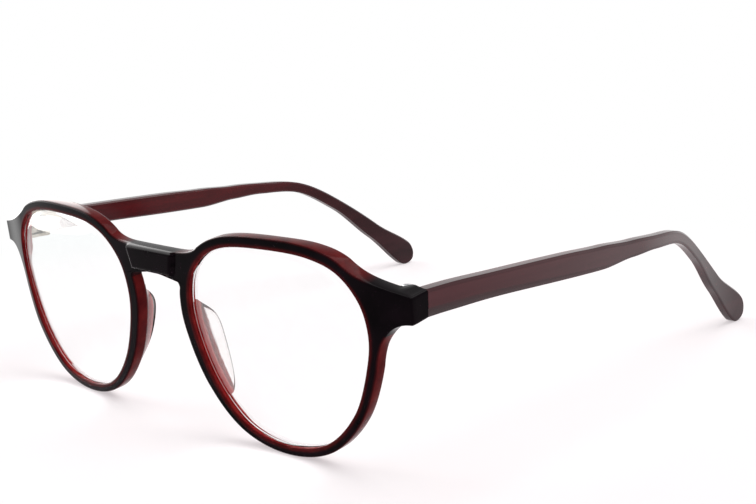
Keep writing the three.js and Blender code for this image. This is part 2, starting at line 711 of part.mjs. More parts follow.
// The last sections, which round the paddle's end off.
function paddleEnd() {
  const rings = [];
  const tip = templeHeight(1);
  const end = templePoint(1, 0, 0);
  const tangent = templeLine.getTangent(1);
  for (let i = 1; i <= PADDLE_STEPS; i += 1) {
    const angle = (Math.PI / 2) * (1 - PADDLE_FLAT_SHARE) * (i / PADDLE_STEPS);
    const height = tip * Math.cos(angle) ** PADDLE_FULLNESS_SHARE;
    const forward = PADDLE_END_ROUND * Math.sin(angle);
    const section = templeSection(1, height, TEMPLE_EDGE_ROUND, TEMPLE_TIP_THICKNESS);
    section.forEach((point) => {
      point.y += tangent.y * forward;
      point.z += tangent.z * forward;
      point.x += templeOuterX(point.y) - templeOuterX(end.y);
    });
    rings.push(section);
  }
  return rings;
}

// A round bar along the temple's line, for the core wire and its channel.
function templeBar(from, to, radius) {
  const rings = [];
  for (let i = 0; i <= WIRE_STEPS; i += 1) {
    const share = THREE.MathUtils.lerp(from, to, i / WIRE_STEPS);
    const ring = [];
    for (let j = 0; j < WIRE_SIDES; j += 1) {
      const angle = ((j + 0.5) / WIRE_SIDES) * 2 * Math.PI;
      ring.push(templePoint(share, radius * Math.cos(angle), WIRE_INSET + radius * Math.sin(angle)));
    }
    rings.push(ring);
  }
  return loft(rings, false);
}

// The right temple: lofted along its line, with the wire's channel and the hinge plate's recess cut.
function temple() {
  const rings = [];
  for (let i = 0; i <= TEMPLE_STEPS; i += 1) {
    const share = i / TEMPLE_STEPS;
    const y = templePoint(share, 0, 0).y;
    const chamfer = TEMPLE_CHAMFER * (1 - ease(share / CHAMFER_END_SHARE)) + TEMPLE_EDGE_ROUND;
    rings.push(templeSection(share, templeHeight(share), chamfer, templeThickness(y)));
  }
  rings.push(...paddleEnd());
  let solid = toSolid(loft(rings, false));
  const channelEnd = WIRE_END_SHARE + WIRE_END_CLEARANCE / templeLineLength;
  const channel = templeBar(-CUT_OVERRUN / templeLineLength, channelEnd, WIRE_RADIUS + WIRE_CLEARANCE);
  solid = solid.subtract(toSolid(channel));
  solid = solid.subtract(templePlateSolid(RECESS_CLEARANCE));
  return toGeometry(solid);
}

function coreWire() {
  return templeBar(WIRE_SETBACK / templeLineLength, WIRE_END_SHARE, WIRE_RADIUS);
}

const group = new THREE.Group();

function addPiece(name, geometry, material) {
  const mesh = new THREE.Mesh(geometry, material);
  mesh.name = name;
  group.add(mesh);
}

function addPair(name, geometry, makeMaterial) {
  addPiece(`${name}_right`, geometry, makeMaterial());
  addPiece(`${name}_left`, mirrored(geometry), makeMaterial());
}

addPiece('front_frame', frontFrame(), frontAcetate());
addPair('lens', lens(), clearLens);
addPair('nose_pad', nosePad(), padAcetate);
addPair('front_hinge', frontHinge(), hingeMetal);
addPair('hinge_screw', hingeScrew(), hingeMetal);
addPair('temple', temple(), templeAcetate);
addPair('core_wire', coreWire(), wireMetal);
addPair('temple_hinge', templeHinge(), hingeMetal);

const bounds = new THREE.Box3().setFromObject(group);
group.position.set(0, -(bounds.min.y + bounds.max.y) / 2, -bounds.min.z);

export default group;
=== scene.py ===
"""Dressed scene of a pair of acetate eyeglasses with crown-panto rims and a keyhole bridge.

Lengths in the size fields are millimetres in the maker's frame: the bridge's front face lies at y = 0,
the temples run along +Y and +Z is up. Meshes are built in that frame and then set into the row frame.
"""

import logging
import math
from dataclasses import dataclass, field
from enum import Enum

import bmesh
import bpy
import numpy as np
from mathutils import Matrix, Vector

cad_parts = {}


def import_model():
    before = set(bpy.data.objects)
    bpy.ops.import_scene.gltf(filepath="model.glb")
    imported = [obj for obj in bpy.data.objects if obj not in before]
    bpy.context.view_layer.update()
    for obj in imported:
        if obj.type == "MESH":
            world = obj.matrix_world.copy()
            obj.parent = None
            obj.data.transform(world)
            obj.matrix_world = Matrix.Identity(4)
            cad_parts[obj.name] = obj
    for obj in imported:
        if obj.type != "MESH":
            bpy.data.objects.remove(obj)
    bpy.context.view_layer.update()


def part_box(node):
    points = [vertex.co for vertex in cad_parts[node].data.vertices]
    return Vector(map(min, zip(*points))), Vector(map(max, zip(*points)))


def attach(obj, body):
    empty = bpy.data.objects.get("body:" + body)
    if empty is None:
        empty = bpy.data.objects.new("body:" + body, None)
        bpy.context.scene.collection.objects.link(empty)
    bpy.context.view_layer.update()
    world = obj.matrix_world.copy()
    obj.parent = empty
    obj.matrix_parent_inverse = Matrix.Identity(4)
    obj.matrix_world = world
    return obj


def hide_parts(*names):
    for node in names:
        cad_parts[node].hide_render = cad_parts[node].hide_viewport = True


LOG = logging.getLogger("eyeglasses")
MM = 0.001
QUARTER_TURN = math.pi / 2
CENTRIPETAL_POWER = 0.25
SMALLEST_GAP = 1e-4
KNOT_STEP = 1e-3
SCREEN_TOP = 255
SCREEN_KNEE = 0.04045
SCREEN_SLOPE = 12.92
SCREEN_LIFT = 0.055
SCREEN_POWER = 2.4
WHITE = (1, 1, 1, 1)
BLACK = (0, 0, 0, 1)
WHOLE = (0.0, 1.0)
BOX_FACES = ((0, 1, 3, 2), (4, 6, 7, 5), (0, 4, 5, 1), (2, 3, 7, 6), (0, 2, 6, 4), (1, 5, 7, 3))
Colour = tuple[float, ...]
Points = np.ndarray
Faces = list[tuple[int, ...]]
Object = bpy.types.Object
Material = bpy.types.Material
Socket = bpy.types.NodeSocket


class Side(Enum):
    """The viewer's right and left halves of the pair."""

    RIGHT = 1
    LEFT = -1

    @property
    def word(self) -> str:
        """The half's name as the nodes carry it."""
        return self.name.lower()


class Body(Enum):
    """The bodies that the joints move."""

    FRONT = "front"
    RIGHT_ARM = "temple_right_arm"
    LEFT_ARM = "temple_left_arm"

    @classmethod
    def arm(cls, side: Side) -> "Body":
        """The body of one temple."""
        return cls.RIGHT_ARM if side is Side.RIGHT else cls.LEFT_ARM


class Noise(Enum):
    """Noises of the finishes: cells a metre, octaves, and the strength of the finer ones."""

    CLOUDS = (140, 4, 0.55)
    STREAKS = (320, 5, 0.6)
    SMEARS = (260, 3, 0.5)
    RIPPLES = (900, 2, 0.4)
    WISPS = (300, 4, 0.6)
    DUST = (1500, 3, 0.5)
    STAINS = (700, 5, 0.65)
    SCRATCHES = (5200, 3, 0.6)
    MOTTLE = (30, 3, 0.5)


def linear(*shown: int) -> Colour:
    """A colour picked as 0 to 255 on a screen, as the shaders take it.

    Args:
        *shown: Red, green and blue as shown.

    Returns:
        The linear colour with a full alpha.
    """
    parts = []
    for value in shown:
        share = value / SCREEN_TOP
        curve = ((share + SCREEN_LIFT) / (1 + SCREEN_LIFT)) ** SCREEN_POWER
        parts.append(share / SCREEN_SLOPE if share <= SCREEN_KNEE else curve)
    return (*parts, 1.0)


def paler(colour: Colour, gain: float) -> Colour:
    """The colour with its three parts raised, to 1 at most."""
    return (*(min(1.0, part * gain) for part in colour[:3]), 1.0)


def ease(value: Points) -> Points:
    """A smooth step from 0 to 1."""
    held = np.clip(value, 0, 1)
    return held * held * (3 - 2 * held)


def catmull(control: Points, closed: bool, places: Points) -> Points:
    """Points of a centripetal Catmull-Rom line.

    Args:
        control: The line's control points, one a row.
        closed: Whether the line runs round.
        places: Places along the line, in control points from the first one.

    Returns:
        One point a row for each place.
    """
    count = len(control)
    low = np.floor(places).astype(int)
    if closed:
        rows = [control[(low + step) % count] for step in (-1, 0, 1, 2)]
    else:
        low = np.clip(low, 0, count - 2)
        longer = np.vstack([2 * control[0] - control[1], control, 2 * control[-1] - control[-2]])
        rows = [longer[low + step] for step in range(4)]
    weight = (places - low)[:, None]
    squares = [np.sum((after - before) ** 2, axis=1) for before, after in zip(rows, rows[1:])]
    gap0, gap1, gap2 = (np.maximum(far**CENTRIPETAL_POWER, SMALLEST_GAP)[:, None] for far in squares)
    p0, p1, p2, p3 = rows
    lean1 = ((p1 - p0) / gap0 - (p2 - p0) / (gap0 + gap1) + (p2 - p1) / gap1) * gap1
    lean2 = ((p2 - p1) / gap1 - (p3 - p1) / (gap1 + gap2) + (p3 - p2) / gap2) * gap1
    second = -3 * p1 + 3 * p2 - 2 * lean1 - lean2
    third = 2 * p1 - 2 * p2 + lean1 + lean2
    return p1 + lean1 * weight + second * weight**2 + third * weight**3


def bezier(control: list[Points | tuple], steps: int) -> Points:
    """Points of a straight line, a quadratic curve or a cubic curve.

    Args:
        control: Two, three or four control points.
        steps: Number of steps along the curve.

    Returns:
        steps + 1 points, one a row.
    """
    share = np.linspace(0, 1, steps + 1)[:, None]
    degree = len(control) - 1
    total = np.zeros((steps + 1, len(control[0])))
    for k, point in enumerate(control):
        total += math.comb(degree, k) * share**k * (1 - share) ** (degree - k) * np.asarray(point)
    return total


def stand(name: str, data: bpy.types.ID) -> Object:
    """Makes an object of a mesh, lamp or camera and puts it in the scene.

    Args:
        name: The object's name.
        data: What it shows.

    Returns:
        The object.
    """
    made = bpy.data.objects.new(name, data)
    bpy.context.scene.collection.objects.link(made)
    return made


@dataclass
class RowFrame:
    """Sets meshes that are built in the maker's frame into the row frame."""

    shift: Vector = field(default_factory=Vector)

    def place(self, points: Points) -> Points:
        """Millimetres of the maker's frame as metres of the row frame."""
        return np.asarray(points) * MM + np.array(self.shift)


@dataclass
class Shape:
    """A closed mesh in the maker's frame, with the values that it carries at its points."""

    points: Points
    faces: Faces
    tints: dict[str, Points] = field(default_factory=dict)

    @classmethod
    def tube(cls, rings: Points) -> "Shape":
        """A tube with closed ends.

        Args:
            rings: Its points, by ring and by place in the ring.

        Returns:
            The shape.
        """
        rows, columns = rings.shape[:2]
        last = (rows - 1) * columns
        faces = []
        for start in range(0, last, columns):
            for j in range(columns):
                here, after = start + j, start + (j + 1) % columns
                faces.append((here, after, after + columns, here + columns))
        ends = [tuple(range(columns)), tuple(range(last, last + columns))[::-1]]
        return cls(rings.reshape(-1, 3), faces + ends)

    @classmethod
    def box(cls, low: tuple, high: tuple) -> "Shape":
        """A block between its lowest and its highest corner."""
        xs, ys, zs = zip(low, high)
        return cls(np.array([[x, y, z] for x in xs for y in ys for z in zs]), list(BOX_FACES))

    @classmethod
    def joined(cls, parts: list["Shape"]) -> "Shape":
        """One shape of several.

        Args:
            parts: The shapes, which all carry the same values.

        Returns:
            The shape.
        """
        faces, offset = [], 0
        for part in parts:
            faces += [tuple(offset + k for k in face) for face in part.faces]
            offset += len(part.points)
        tints = {key: np.concatenate([part.tints[key] for part in parts]) for key in parts[0].tints}
        return cls(np.vstack([part.points for part in parts]), faces, tints)


@dataclass(frozen=True)
class LensOutline:
    """The opening's front edge, about its own middle."""

    half_width: float = 24.5
    half_height: float = 21.7
    centre_x: float = 35.2
    shares: tuple = (
        (0.965, 0.0), (1.0, 0.305), (0.94, 0.61), (0.76, 0.85), (0.49, 0.965), (0.0, 1.0),
        (-0.49, 0.955), (-0.74, 0.83), (-0.92, 0.6), (-0.985, 0.3), (-0.955, 0.0),
        (-0.77, -0.505), (-0.45, -0.875), (0.0, -1.0), (0.455, -0.89), (0.79, -0.515),
    )
    temple_knot: float = 0.0
    upper_temple_knot: float = 3.1
    upper_nose_knot: float = 7.0
    nose_knot: float = 9.0

    @property
    def count(self) -> int:
        """The number of knots round the outline."""
        return len(self.shares)

    def lip(self, knots: Points) -> tuple[Points, Points]:
        """The outline's points and outward normals.

        Args:
            knots: Places round the outline, in knots.

        Returns:
            The points (x, v) and the unit normals, one a row each.
        """
        control = np.array(self.shares) * (self.half_width, self.half_height)
        here = catmull(control, True, knots)
        lean = catmull(control, True, knots + KNOT_STEP) - catmull(control, True, knots - KNOT_STEP)
        lean /= np.linalg.norm(lean, axis=1, keepdims=True)
        return here + (self.centre_x, 0), np.column_stack([lean[:, 1], -lean[:, 0]])


@dataclass(frozen=True)
class FrontSizes:
    """Sizes of the milled front: rim, bridge, endpiece, bow and tilt."""

    lens_centre_z: float = 23.49
    rim_top: float = 2.5
    rim_temple: float = 2.2
    rim_bottom: float = 2.1
    rim_nose: float = 3.3
    rim_power: int = 4
    depth: float = 3.05
    edge_round: float = 0.45
    groove_depth: float = 0.8
    groove_mouth: float = 1.7
    groove_floor: float = 0.5
    groove_setback: float = 1.55
    tilt_deg: float = 5.6
    bow: float = 5.6
    end_half_width: float = 69.7
    end_sweep: float = 1.3
    end_sweep_start: float = 57
    brow_gain: float = 1.0
    brow_start: float = 38
    brow_end: float = 52
    brow_foot: float = 4
    bridge_top: float = 18.1
    bridge_arch: float = 12.1
    bridge_top_half: float = 7.2
    arch_half: float = 4.2
    keyhole_half: float = 8.3
    keyhole_height: float = 10
    proud: float = 1.0
    pad_half: float = 8.4
    pad_foot_half: float = 7.0
    pad_bevel: float = 0.9
    pad_foot_inset: float = 0.3
    end_top: float = 15.15
    end_bottom: float = 9.35
    end_corner: float = 0.7
    end_gain: float = 3.0
    end_ramp: float = 1.4
    joint_y: float = 10.4
    joint_gap: float = 0.1
    temple_thickness: float = 3.2

    @property
    def temple_inner_x(self) -> float:
        """Where the temple's inner face starts, off the middle."""
        return self.end_half_width - self.temple_thickness

    def rim_width(self, normals: Points) -> Points:
        """The rim's width where its normals point these ways.

        Args:
            normals: Unit normals, one a row.

        Returns:
            One width for each normal.
        """
        side = np.where(normals[:, 0] > 0, self.rim_temple, self.rim_nose)
        level = np.where(normals[:, 1] > 0, self.rim_top, self.rim_bottom)
        return level + (side - level) * normals[:, 0] ** self.rim_power

    def place(self, x: Points, v: Points, w: Points | float) -> Points:
        """Bends flat places of the front into the bowed and tilted front.

        Args:
            x: Distance across from the middle.
            v: Height above the lens centre.
            w: Depth behind the front face.

        Returns:
            Points (x, y, z) along a last axis of three.
        """
        x, v, w = np.broadcast_arrays(x, v, w)
        side = np.abs(x)
        bow = self.bow * (side / self.end_half_width) ** 2
        past = (side - self.end_sweep_start) / (self.end_half_width - self.end_sweep_start)
        groove_back = self.groove_setback + self.groove_mouth / 2
        back = np.clip((w - groove_back) / (self.depth - self.edge_round - groove_back), 0, 1)
        across = ease((side - self.brow_start) / (self.brow_end - self.brow_start))
        up = ease((v - self.brow_foot) / (self.end_bottom - self.brow_foot))
        end = ease((side - self.temple_inner_x) / self.end_ramp + 1)
        flare = (self.brow_gain * across + self.end_gain * end) * up * back
        deep = bow + self.end_sweep * ease(past) + w + flare
        tilt = math.radians(self.tilt_deg)
        y = deep * math.cos(tilt) - v * math.sin(tilt)
        z = self.lens_centre_z + v * math.cos(tilt) + deep * math.sin(tilt)
        return np.stack([x, y, z], axis=-1)


@dataclass(frozen=True)
class TempleSizes:
    """Sizes of a temple: its line in side view, heights, plan and section."""

    thickness: float = 3.2
    tip_thickness: float = 2.6
    reach: float = 142.6
    splay: float = 1.5
    tuck: float = 8.0
    splay_end: float = 0.6
    tuck_start: float = 0.54
    centre_z: float = 36.95
    height: float = 5.9
    chamfer: float = 1.5
    chamfer_end: float = 0.55
    edge_round: float = 0.45
    end_round: float = 4.8
    line: tuple = (
        (0.0, 1.0), (0.05, 1.0), (0.155, 0.99), (0.323, 0.962), (0.422, 0.944), (0.513, 0.94),
        (0.591, 0.93), (0.696, 0.88), (0.798, 0.677), (0.901, 0.384), (1.0, 0.116),
    )
    heights: tuple = (1.0, 0.99, 0.93, 0.97, 0.93, 0.68, 0.56, 0.52, 0.56, 0.83, 1.35)


@dataclass(frozen=True)
class HingeSizes:
    """Sizes of a five-knuckle hinge, its recesses and its screw."""

    barrel_radius: float = 1.4
    pin_inset: float = 4.0
    pin_setback: float = 2.3
    knuckle_height: float = 0.8
    knuckle_gap: float = 0.06
    knuckle_bevel: float = 0.08
    knuckles: int = 5
    plate_thickness: float = 0.8
    plate_height: float = 4.3
    drop: float = 0.25
    seat_setback: float = 2.4
    reach_in: float = 1.7
    reach_out: float = 3.0
    temple_plate: float = 9.5
    web_half: float = 1.2
    web_inset: float = 0.02
    edge_break: float = 0.1
    edge_faces: int = 2
    recess: float = 0.1
    overrun: float = 2.0
    screw_radius: float = 0.6
    shank_bevel: float = 0.06
    head_radius: float = 1.05
    head_height: float = 0.45
    head_bevel: float = 0.12
    slot_width: float = 0.25
    slot_depth: float = 0.2
    slot_overrun: float = 1.0
    tail: float = 0.15


class Graph:
    """Lays out the nodes of one material or world."""

    mix_inputs: tuple[int, int, int] = (0, 6, 7)
    mix_output: int = 2

    def __init__(self, tree: bpy.types.NodeTree, output: str) -> None:
        """Empties the tree and adds its output.

        Args:
            tree: The nodes.
            output: The output node's type.
        """
        self.tree = tree
        tree.nodes.clear()
        self.output = self.node(output)

    def node(self, kind: str, sockets: dict | None = None, **settings: object) -> bpy.types.Node:
        """Adds a node.

        Args:
            kind: The node's type.
            sockets: What goes into its sockets: a constant, or the socket that feeds it.
            **settings: Its properties.

        Returns:
            The node.
        """
        made = self.tree.nodes.new(kind)
        for key, value in settings.items():
            setattr(made, key, value)
        for key, value in (sockets or {}).items():
            if isinstance(value, Socket):
                self.tree.links.new(value, made.inputs[key])
            else:
                made.inputs[key].default_value = value
        return made

    def show(self, shader: Socket) -> None:
        """Puts a shader on the output."""
        self.tree.links.new(shader, self.output.inputs["Surface"])

    def noise(self, noise: Noise, stretch: tuple = (1, 1, 1)) -> Socket:
        """A noise over the object's own coordinates.

        Args:
            noise: Which noise.
            stretch: Factors of the three axes. A small one draws the noise out.

        Returns:
            The noise's value.
        """
        scale, detail, rough = noise.value
        place = self.node("ShaderNodeTexCoord").outputs["Object"]
        drawn = self.node("ShaderNodeMapping", {"Vector": place, "Scale": stretch}).outputs["Vector"]
        sockets = {"Vector": drawn, "Scale": scale, "Detail": detail, "Roughness": rough}
        return self.node("ShaderNodeTexNoise", sockets).outputs["Fac"]

    def ramp(self, value: Socket, span: tuple[float, float], first: Colour, last: Colour) -> Socket:
        """Turns a value into a colour between two.

        Args:
            value: The value that is looked up.
            span: Where the first colour ends and the last one starts.
            first: The first colour.
            last: The last colour.

        Returns:
            The colour.
        """
        made = self.node("ShaderNodeValToRGB", {"Fac": value})
        for element, place, colour in zip(made.color_ramp.elements, span, (first, last)):
            element.position = place
            element.color = colour
        return made.outputs["Color"]

    def remap(self, value: Socket, source: tuple[float, float], target: tuple[float, float],
              smooth: bool = True) -> Socket:
        """Carries a value over from one span to another.

        Args:
            value: The value.
            source: Where it starts and ends.
            target: What it gives there.
            smooth: Whether it leaves and arrives softly.

        Returns:
            The new value.
        """
        sockets = {"Value": value, "From Min": source[0], "From Max": source[1],
                   "To Min": target[0], "To Max": target[1]}
        way = "SMOOTHSTEP" if smooth else "LINEAR"
        return self.node("ShaderNodeMapRange", sockets, interpolation_type=way).outputs["Result"]

    def uneven(self, noise: Socket, middle: float, shares: tuple[float, float]) -> Socket:
        """A value that a noise moves between two shares of its middle."""
        return self.remap(noise, WHOLE, (middle * shares[0], middle * shares[1]), False)

    def blend(self, share: Socket, first: Socket, second: Socket) -> Socket:
        """Mixes two colours: share says how much of the second shows."""
        sockets = dict(zip(self.mix_inputs, (share, first, second)))
        return self.node("ShaderNodeMix", sockets, data_type="RGBA").outputs[self.mix_output]

    def layered(self, share: Socket, under: Socket, over: Socket) -> Socket:
        """Mixes two shaders: share says how much of the second shows."""
        return self.node("ShaderNodeMixShader", {"Fac": share, 1: under, 2: over}).outputs["Shader"]

    def bump(self, value: Socket, strength: float, distance: float) -> Socket:
        """A bump from a value, in metres of depth."""
        sockets = {"Height": value, "Strength": strength, "Distance": distance}
        return self.node("ShaderNodeBump", sockets).outputs["Normal"]

    def either(self, first: Socket, second: Socket) -> Socket:
        """The larger of two values."""
        return self.node("ShaderNodeMath", {0: first, 1: second}, operation="MAXIMUM").outputs[0]

    def times(self, first: Socket, second: Socket) -> Socket:
        """The product of two values."""
        return self.node("ShaderNodeMath", {0: first, 1: second}, operation="MULTIPLY").outputs[0]

    def tint(self, name: str) -> Socket:
        """The value that the mesh carries under a name."""
        return self.node("ShaderNodeAttribute", attribute_type="GEOMETRY", attribute_name=name).outputs["Fac"]

    def glance(self, span: tuple[float, float], most: float) -> Socket:
        """A value that rises where the surface is seen at a slant.

        Args:
            span: The slants where it starts and is full, from 0 face on to 1 edge on.
            most: Its full value.

        Returns:
            The value.
        """
        slant = self.node("ShaderNodeLayerWeight", {"Blend": 0.5}).outputs["Facing"]
        return self.remap(slant, span, (0.0, most))

    def seen(self) -> Socket:
        """One for rays that show a surface to the camera, straight, mirrored or through glass.

        Returns:
            The value.
        """
        rays = self.node("ShaderNodeLightPath").outputs
        direct = self.either(rays["Is Camera Ray"], rays["Is Glossy Ray"])
        return self.either(direct, rays["Is Transmission Ray"])


@dataclass(frozen=True)
class Finish:
    """A material, which each kind of finish lays out in its own way."""

    name: str

    def lay(self, graph: Graph) -> Socket:
        """Lays out the nodes in the graph and gives the shader's socket."""
        raise NotImplementedError

    def build(self) -> Material:
        """Makes the material.

        Returns:
            The material.
        """
        material = bpy.data.materials.new(self.name)
        material.use_nodes = True
        graph = Graph(material.node_tree, "ShaderNodeOutputMaterial")
        graph.show(self.lay(graph))
        return material


@dataclass(frozen=True)
class AcetateFinish(Finish):
    """Polished cellulose acetate: a dark body with a painted red glow where light would come through it, and
    painted shade where the mesh says.
    """

    deep: Colour
    deep_alt: Colour
    # glow and glow_alt are painted light: the red of light coming through the acetate, laid into the base
    # colour by the mesh's glow value.
    glow: Colour
    glow_alt: Colour
    # A painted shade colour, blended into the base colour where the mesh's shade value lies.
    dusk: Colour = BLACK
    deep_span: tuple = (0.35, 0.68)
    glow_span: tuple = (0.3, 0.72)
    dusk_span: tuple = (0.3, 0.75)
    stretch: tuple = (1, 1, 1)
    roughness: float = 0.1
    rough_shares: tuple = (0.7, 1.5)
    ripple: float = 0.12
    ripple_depth: float = 0.00002
    specular: float = 0.12
    index: float = 1.49
    slant_shine: float = 0.3
    slant_start: float = 0.4
    slant_end: float = 0.95
    # The next five fields paint shade into the gloss: they dim the mirror coat under the painted shade and on
    # faces that point down or straight up.
    dusk_shine: float = 0.1
    down_span: tuple = (0.05, -0.75)
    down_shine: float = 0.1
    up_span: tuple = (0.82, 0.99)
    up_shine: float = 0.3

    def shine_share(self, graph: Graph) -> Socket:
        """How much of the mirror coat shows: more at a slant, and less where painted shade dims it, on faces
        that point up or down and where the mesh's shade value lies.

        Args:
            graph: The material's nodes.

        Returns:
            The share.
        """
        normal = graph.node("ShaderNodeNewGeometry").outputs["Normal"]
        level = graph.node("ShaderNodeSeparateXYZ", {"Vector": normal}).outputs["Z"]
        # Painted shade: less gloss on faces that point down or straight up.
        down = graph.remap(level, self.down_span, (1, self.down_shine))
        up = graph.remap(level, self.up_span, (1, self.up_shine))
        slant = graph.glance((self.slant_start, self.slant_end), self.slant_shine)
        # Painted shade: less gloss where the mesh's shade value lies.
        painted_shade_dim = graph.remap(graph.tint("dusk"), WHOLE, (1, self.dusk_shine), False)
        return graph.times(graph.times(slant, graph.times(down, up)), painted_shade_dim)

    def lay(self, graph: Graph) -> Socket:
        """Lays out the acetate's nodes.

        Args:
            graph: The material's nodes.

        Returns:
            The shader.
        """
        clouds = graph.noise(Noise.CLOUDS, self.stretch)
        streaks = graph.noise(Noise.STREAKS, self.stretch)
        body = graph.ramp(clouds, self.deep_span, self.deep, self.deep_alt)
        # Painted light: the red glow of light through the acetate, as base colour.
        thin = graph.ramp(streaks, self.glow_span, self.glow, self.glow_alt)
        # Painted shade: the darker colour used where the mesh's shade value lies.
        shade = graph.ramp(clouds, self.dusk_span, self.dusk, self.deep)
        lit = graph.blend(graph.tint("thin"), body, thin)
        polish = graph.bump(graph.noise(Noise.RIPPLES), self.ripple, self.ripple_depth)
        surface = graph.node("ShaderNodeBsdfPrincipled", {
            "Base Color": graph.blend(graph.tint("dusk"), lit, shade),
            "Roughness": graph.uneven(graph.noise(Noise.SMEARS), self.roughness, self.rough_shares),
            "Normal": polish,
            "Specular IOR Level": self.specular,
            "IOR": self.index,
        })
        shine = graph.node("ShaderNodeBsdfAnisotropic", {"Roughness": self.roughness, "Normal": polish})
        return graph.layered(self.shine_share(graph), surface.outputs["BSDF"], shine.outputs["BSDF"])


@dataclass(frozen=True)
class ClearFinish(Finish):
    """Clear plastic or glass, which lets light pass to what lies behind."""

    colour: Colour
    pale_gain: float = 1.02
    pale_span: tuple = (0.3, 0.7)
    roughness: float = 0.01
    rough_shares: tuple = (0.5, 1.5)
    index: float = 1.5
    scratch: float = 0.05
    scratch_depth: float = 0.000002
    # edge, edge_span and outline paint shade: a dark coat along the glancing edges of a clear piece, where
    # refraction darkens it.
    edge: float = 0.0
    edge_span: tuple = (0.5, 0.8)
    outline: Colour = (0.02, 0.012, 0.012, 1)

    def lay(self, graph: Graph) -> Socket:
        """Lays out the clear stuff's nodes.

        Args:
            graph: The material's nodes.

        Returns:
            The shader.
        """
        dust = graph.noise(Noise.DUST)
        pale = paler(self.colour, self.pale_gain)
        surface = graph.node("ShaderNodeBsdfPrincipled", {
            "Base Color": graph.ramp(graph.noise(Noise.WISPS), self.pale_span, self.colour, pale),
            "Roughness": graph.uneven(dust, self.roughness, self.rough_shares),
            "Normal": graph.bump(dust, self.scratch, self.scratch_depth),
            "Transmission Weight": 1.0,
            "IOR": self.index,
        })
        # Painted shade: a dark diffuse coat at glancing angles and where the mesh's shade value lies.
        outline = graph.node("ShaderNodeBsdfDiffuse", {"Color": self.outline})
        painted_edge_shade = graph.either(graph.glance(self.edge_span, self.edge), graph.tint("dusk"))
        body = graph.layered(painted_edge_shade, surface.outputs["BSDF"], outline.outputs["BSDF"])
        clear = graph.node("ShaderNodeBsdfTransparent")
        rays = graph.node("ShaderNodeLightPath")
        return graph.layered(rays.outputs["Is Shadow Ray"], body, clear.outputs["BSDF"])


@dataclass(frozen=True)
class PadFinish(Finish):
    """Clear acetate on a root of the frame's own: the mesh's root value says which one shows."""

    clear: ClearFinish
    root: AcetateFinish

    def lay(self, graph: Graph) -> Socket:
        """Lays out both layers in the graph and mixes them."""
        return graph.layered(graph.tint("root"), self.clear.lay(graph), self.root.lay(graph))


@dataclass(frozen=True)
class MetalFinish(Finish):
    """Tumbled or turned metal with fine scratches and a little tarnish."""

    colour: Colour
    tarnish: Colour
    roughness: float = 0.3
    rough_shares: tuple = (0.7, 1.4)
    tarnish_span: tuple = (0.4, 0.75)
    scratch: float = 0.2
    scratch_depth: float = 0.00001

    def lay(self, graph: Graph) -> Socket:
        """Lays out the metal's nodes.

        Args:
            graph: The material's nodes.

        Returns:
            The shader.
        """
        scratches = graph.noise(Noise.SCRATCHES)
        return graph.node("ShaderNodeBsdfPrincipled", {
            "Base Color": graph.ramp(graph.noise(Noise.STAINS), self.tarnish_span, self.colour, self.tarnish),
            "Roughness": graph.uneven(scratches, self.roughness, self.rough_shares),
            "Normal": graph.bump(scratches, self.scratch, self.scratch_depth),
            "Metallic": 1.0,
        }).outputs["BSDF"]


@dataclass(frozen=True)
class PaperFinish(Finish):
    """Matt white paper, which turns to plain white away from the object."""

    colour: Colour
    # shadow is a painted shadow colour: the faint pink glow that the paper gives near the object, which shows
    # where its shadows fall.
    shadow: Colour
    pale_gain: float = 1.01
    pale_span: tuple = (0.3, 0.7)
    roughness: float = 0.9
    specular: float = 0.1
    near: float = 0.095
    far: float = 0.2
    near_white: float = 0.5

    def lay(self, graph: Graph) -> Socket:
        """Lays out the paper's nodes.

        Args:
            graph: The material's nodes.

        Returns:
            The shader.
        """
        pale = paler(self.colour, self.pale_gain)
        surface = graph.node("ShaderNodeBsdfPrincipled", {
            "Base Color": graph.ramp(graph.noise(Noise.MOTTLE), self.pale_span, self.colour, pale),
            "Roughness": self.roughness,
            "Specular IOR Level": self.specular,
        })
        place = graph.node("ShaderNodeTexCoord").outputs["Object"]
        length = graph.node("ShaderNodeVectorMath", {0: place}, operation="LENGTH").outputs["Value"]
        away = graph.remap(length, (self.near, self.far), (self.near_white, 1))
        # Painted shadow colour: pink near the object, fading to plain white further out.
        shadow_tinted_white = graph.ramp(away, (self.near_white, 1), self.shadow, WHITE)
        white = graph.node("ShaderNodeEmission", {"Color": shadow_tinted_white, "Strength": 1.0})
        share = graph.times(away, graph.seen())
        return graph.layered(share, surface.outputs["BSDF"], white.outputs["Emission"])


# In the acetates below, glow and glow_alt are painted red light coming through the acetate, and the temple's
# third colour is a painted shade colour.
FRONT_ACETATE = AcetateFinish(
    "front_acetate", deep=linear(5, 2, 4), deep_alt=linear(17, 8, 14), glow=linear(112, 14, 18),
    glow_alt=linear(166, 44, 42), specular=0.03, slant_start=0.5,
)
TEMPLE_ACETATE = AcetateFinish(
    "temple_acetate", deep=linear(65, 31, 36), deep_alt=linear(83, 41, 46), glow=linear(56, 16, 19),
    glow_alt=linear(88, 20, 24), dusk=linear(32, 10, 14), stretch=(1, 0.1, 1), specular=0.15,
    slant_shine=0.32, slant_start=0.33,
)
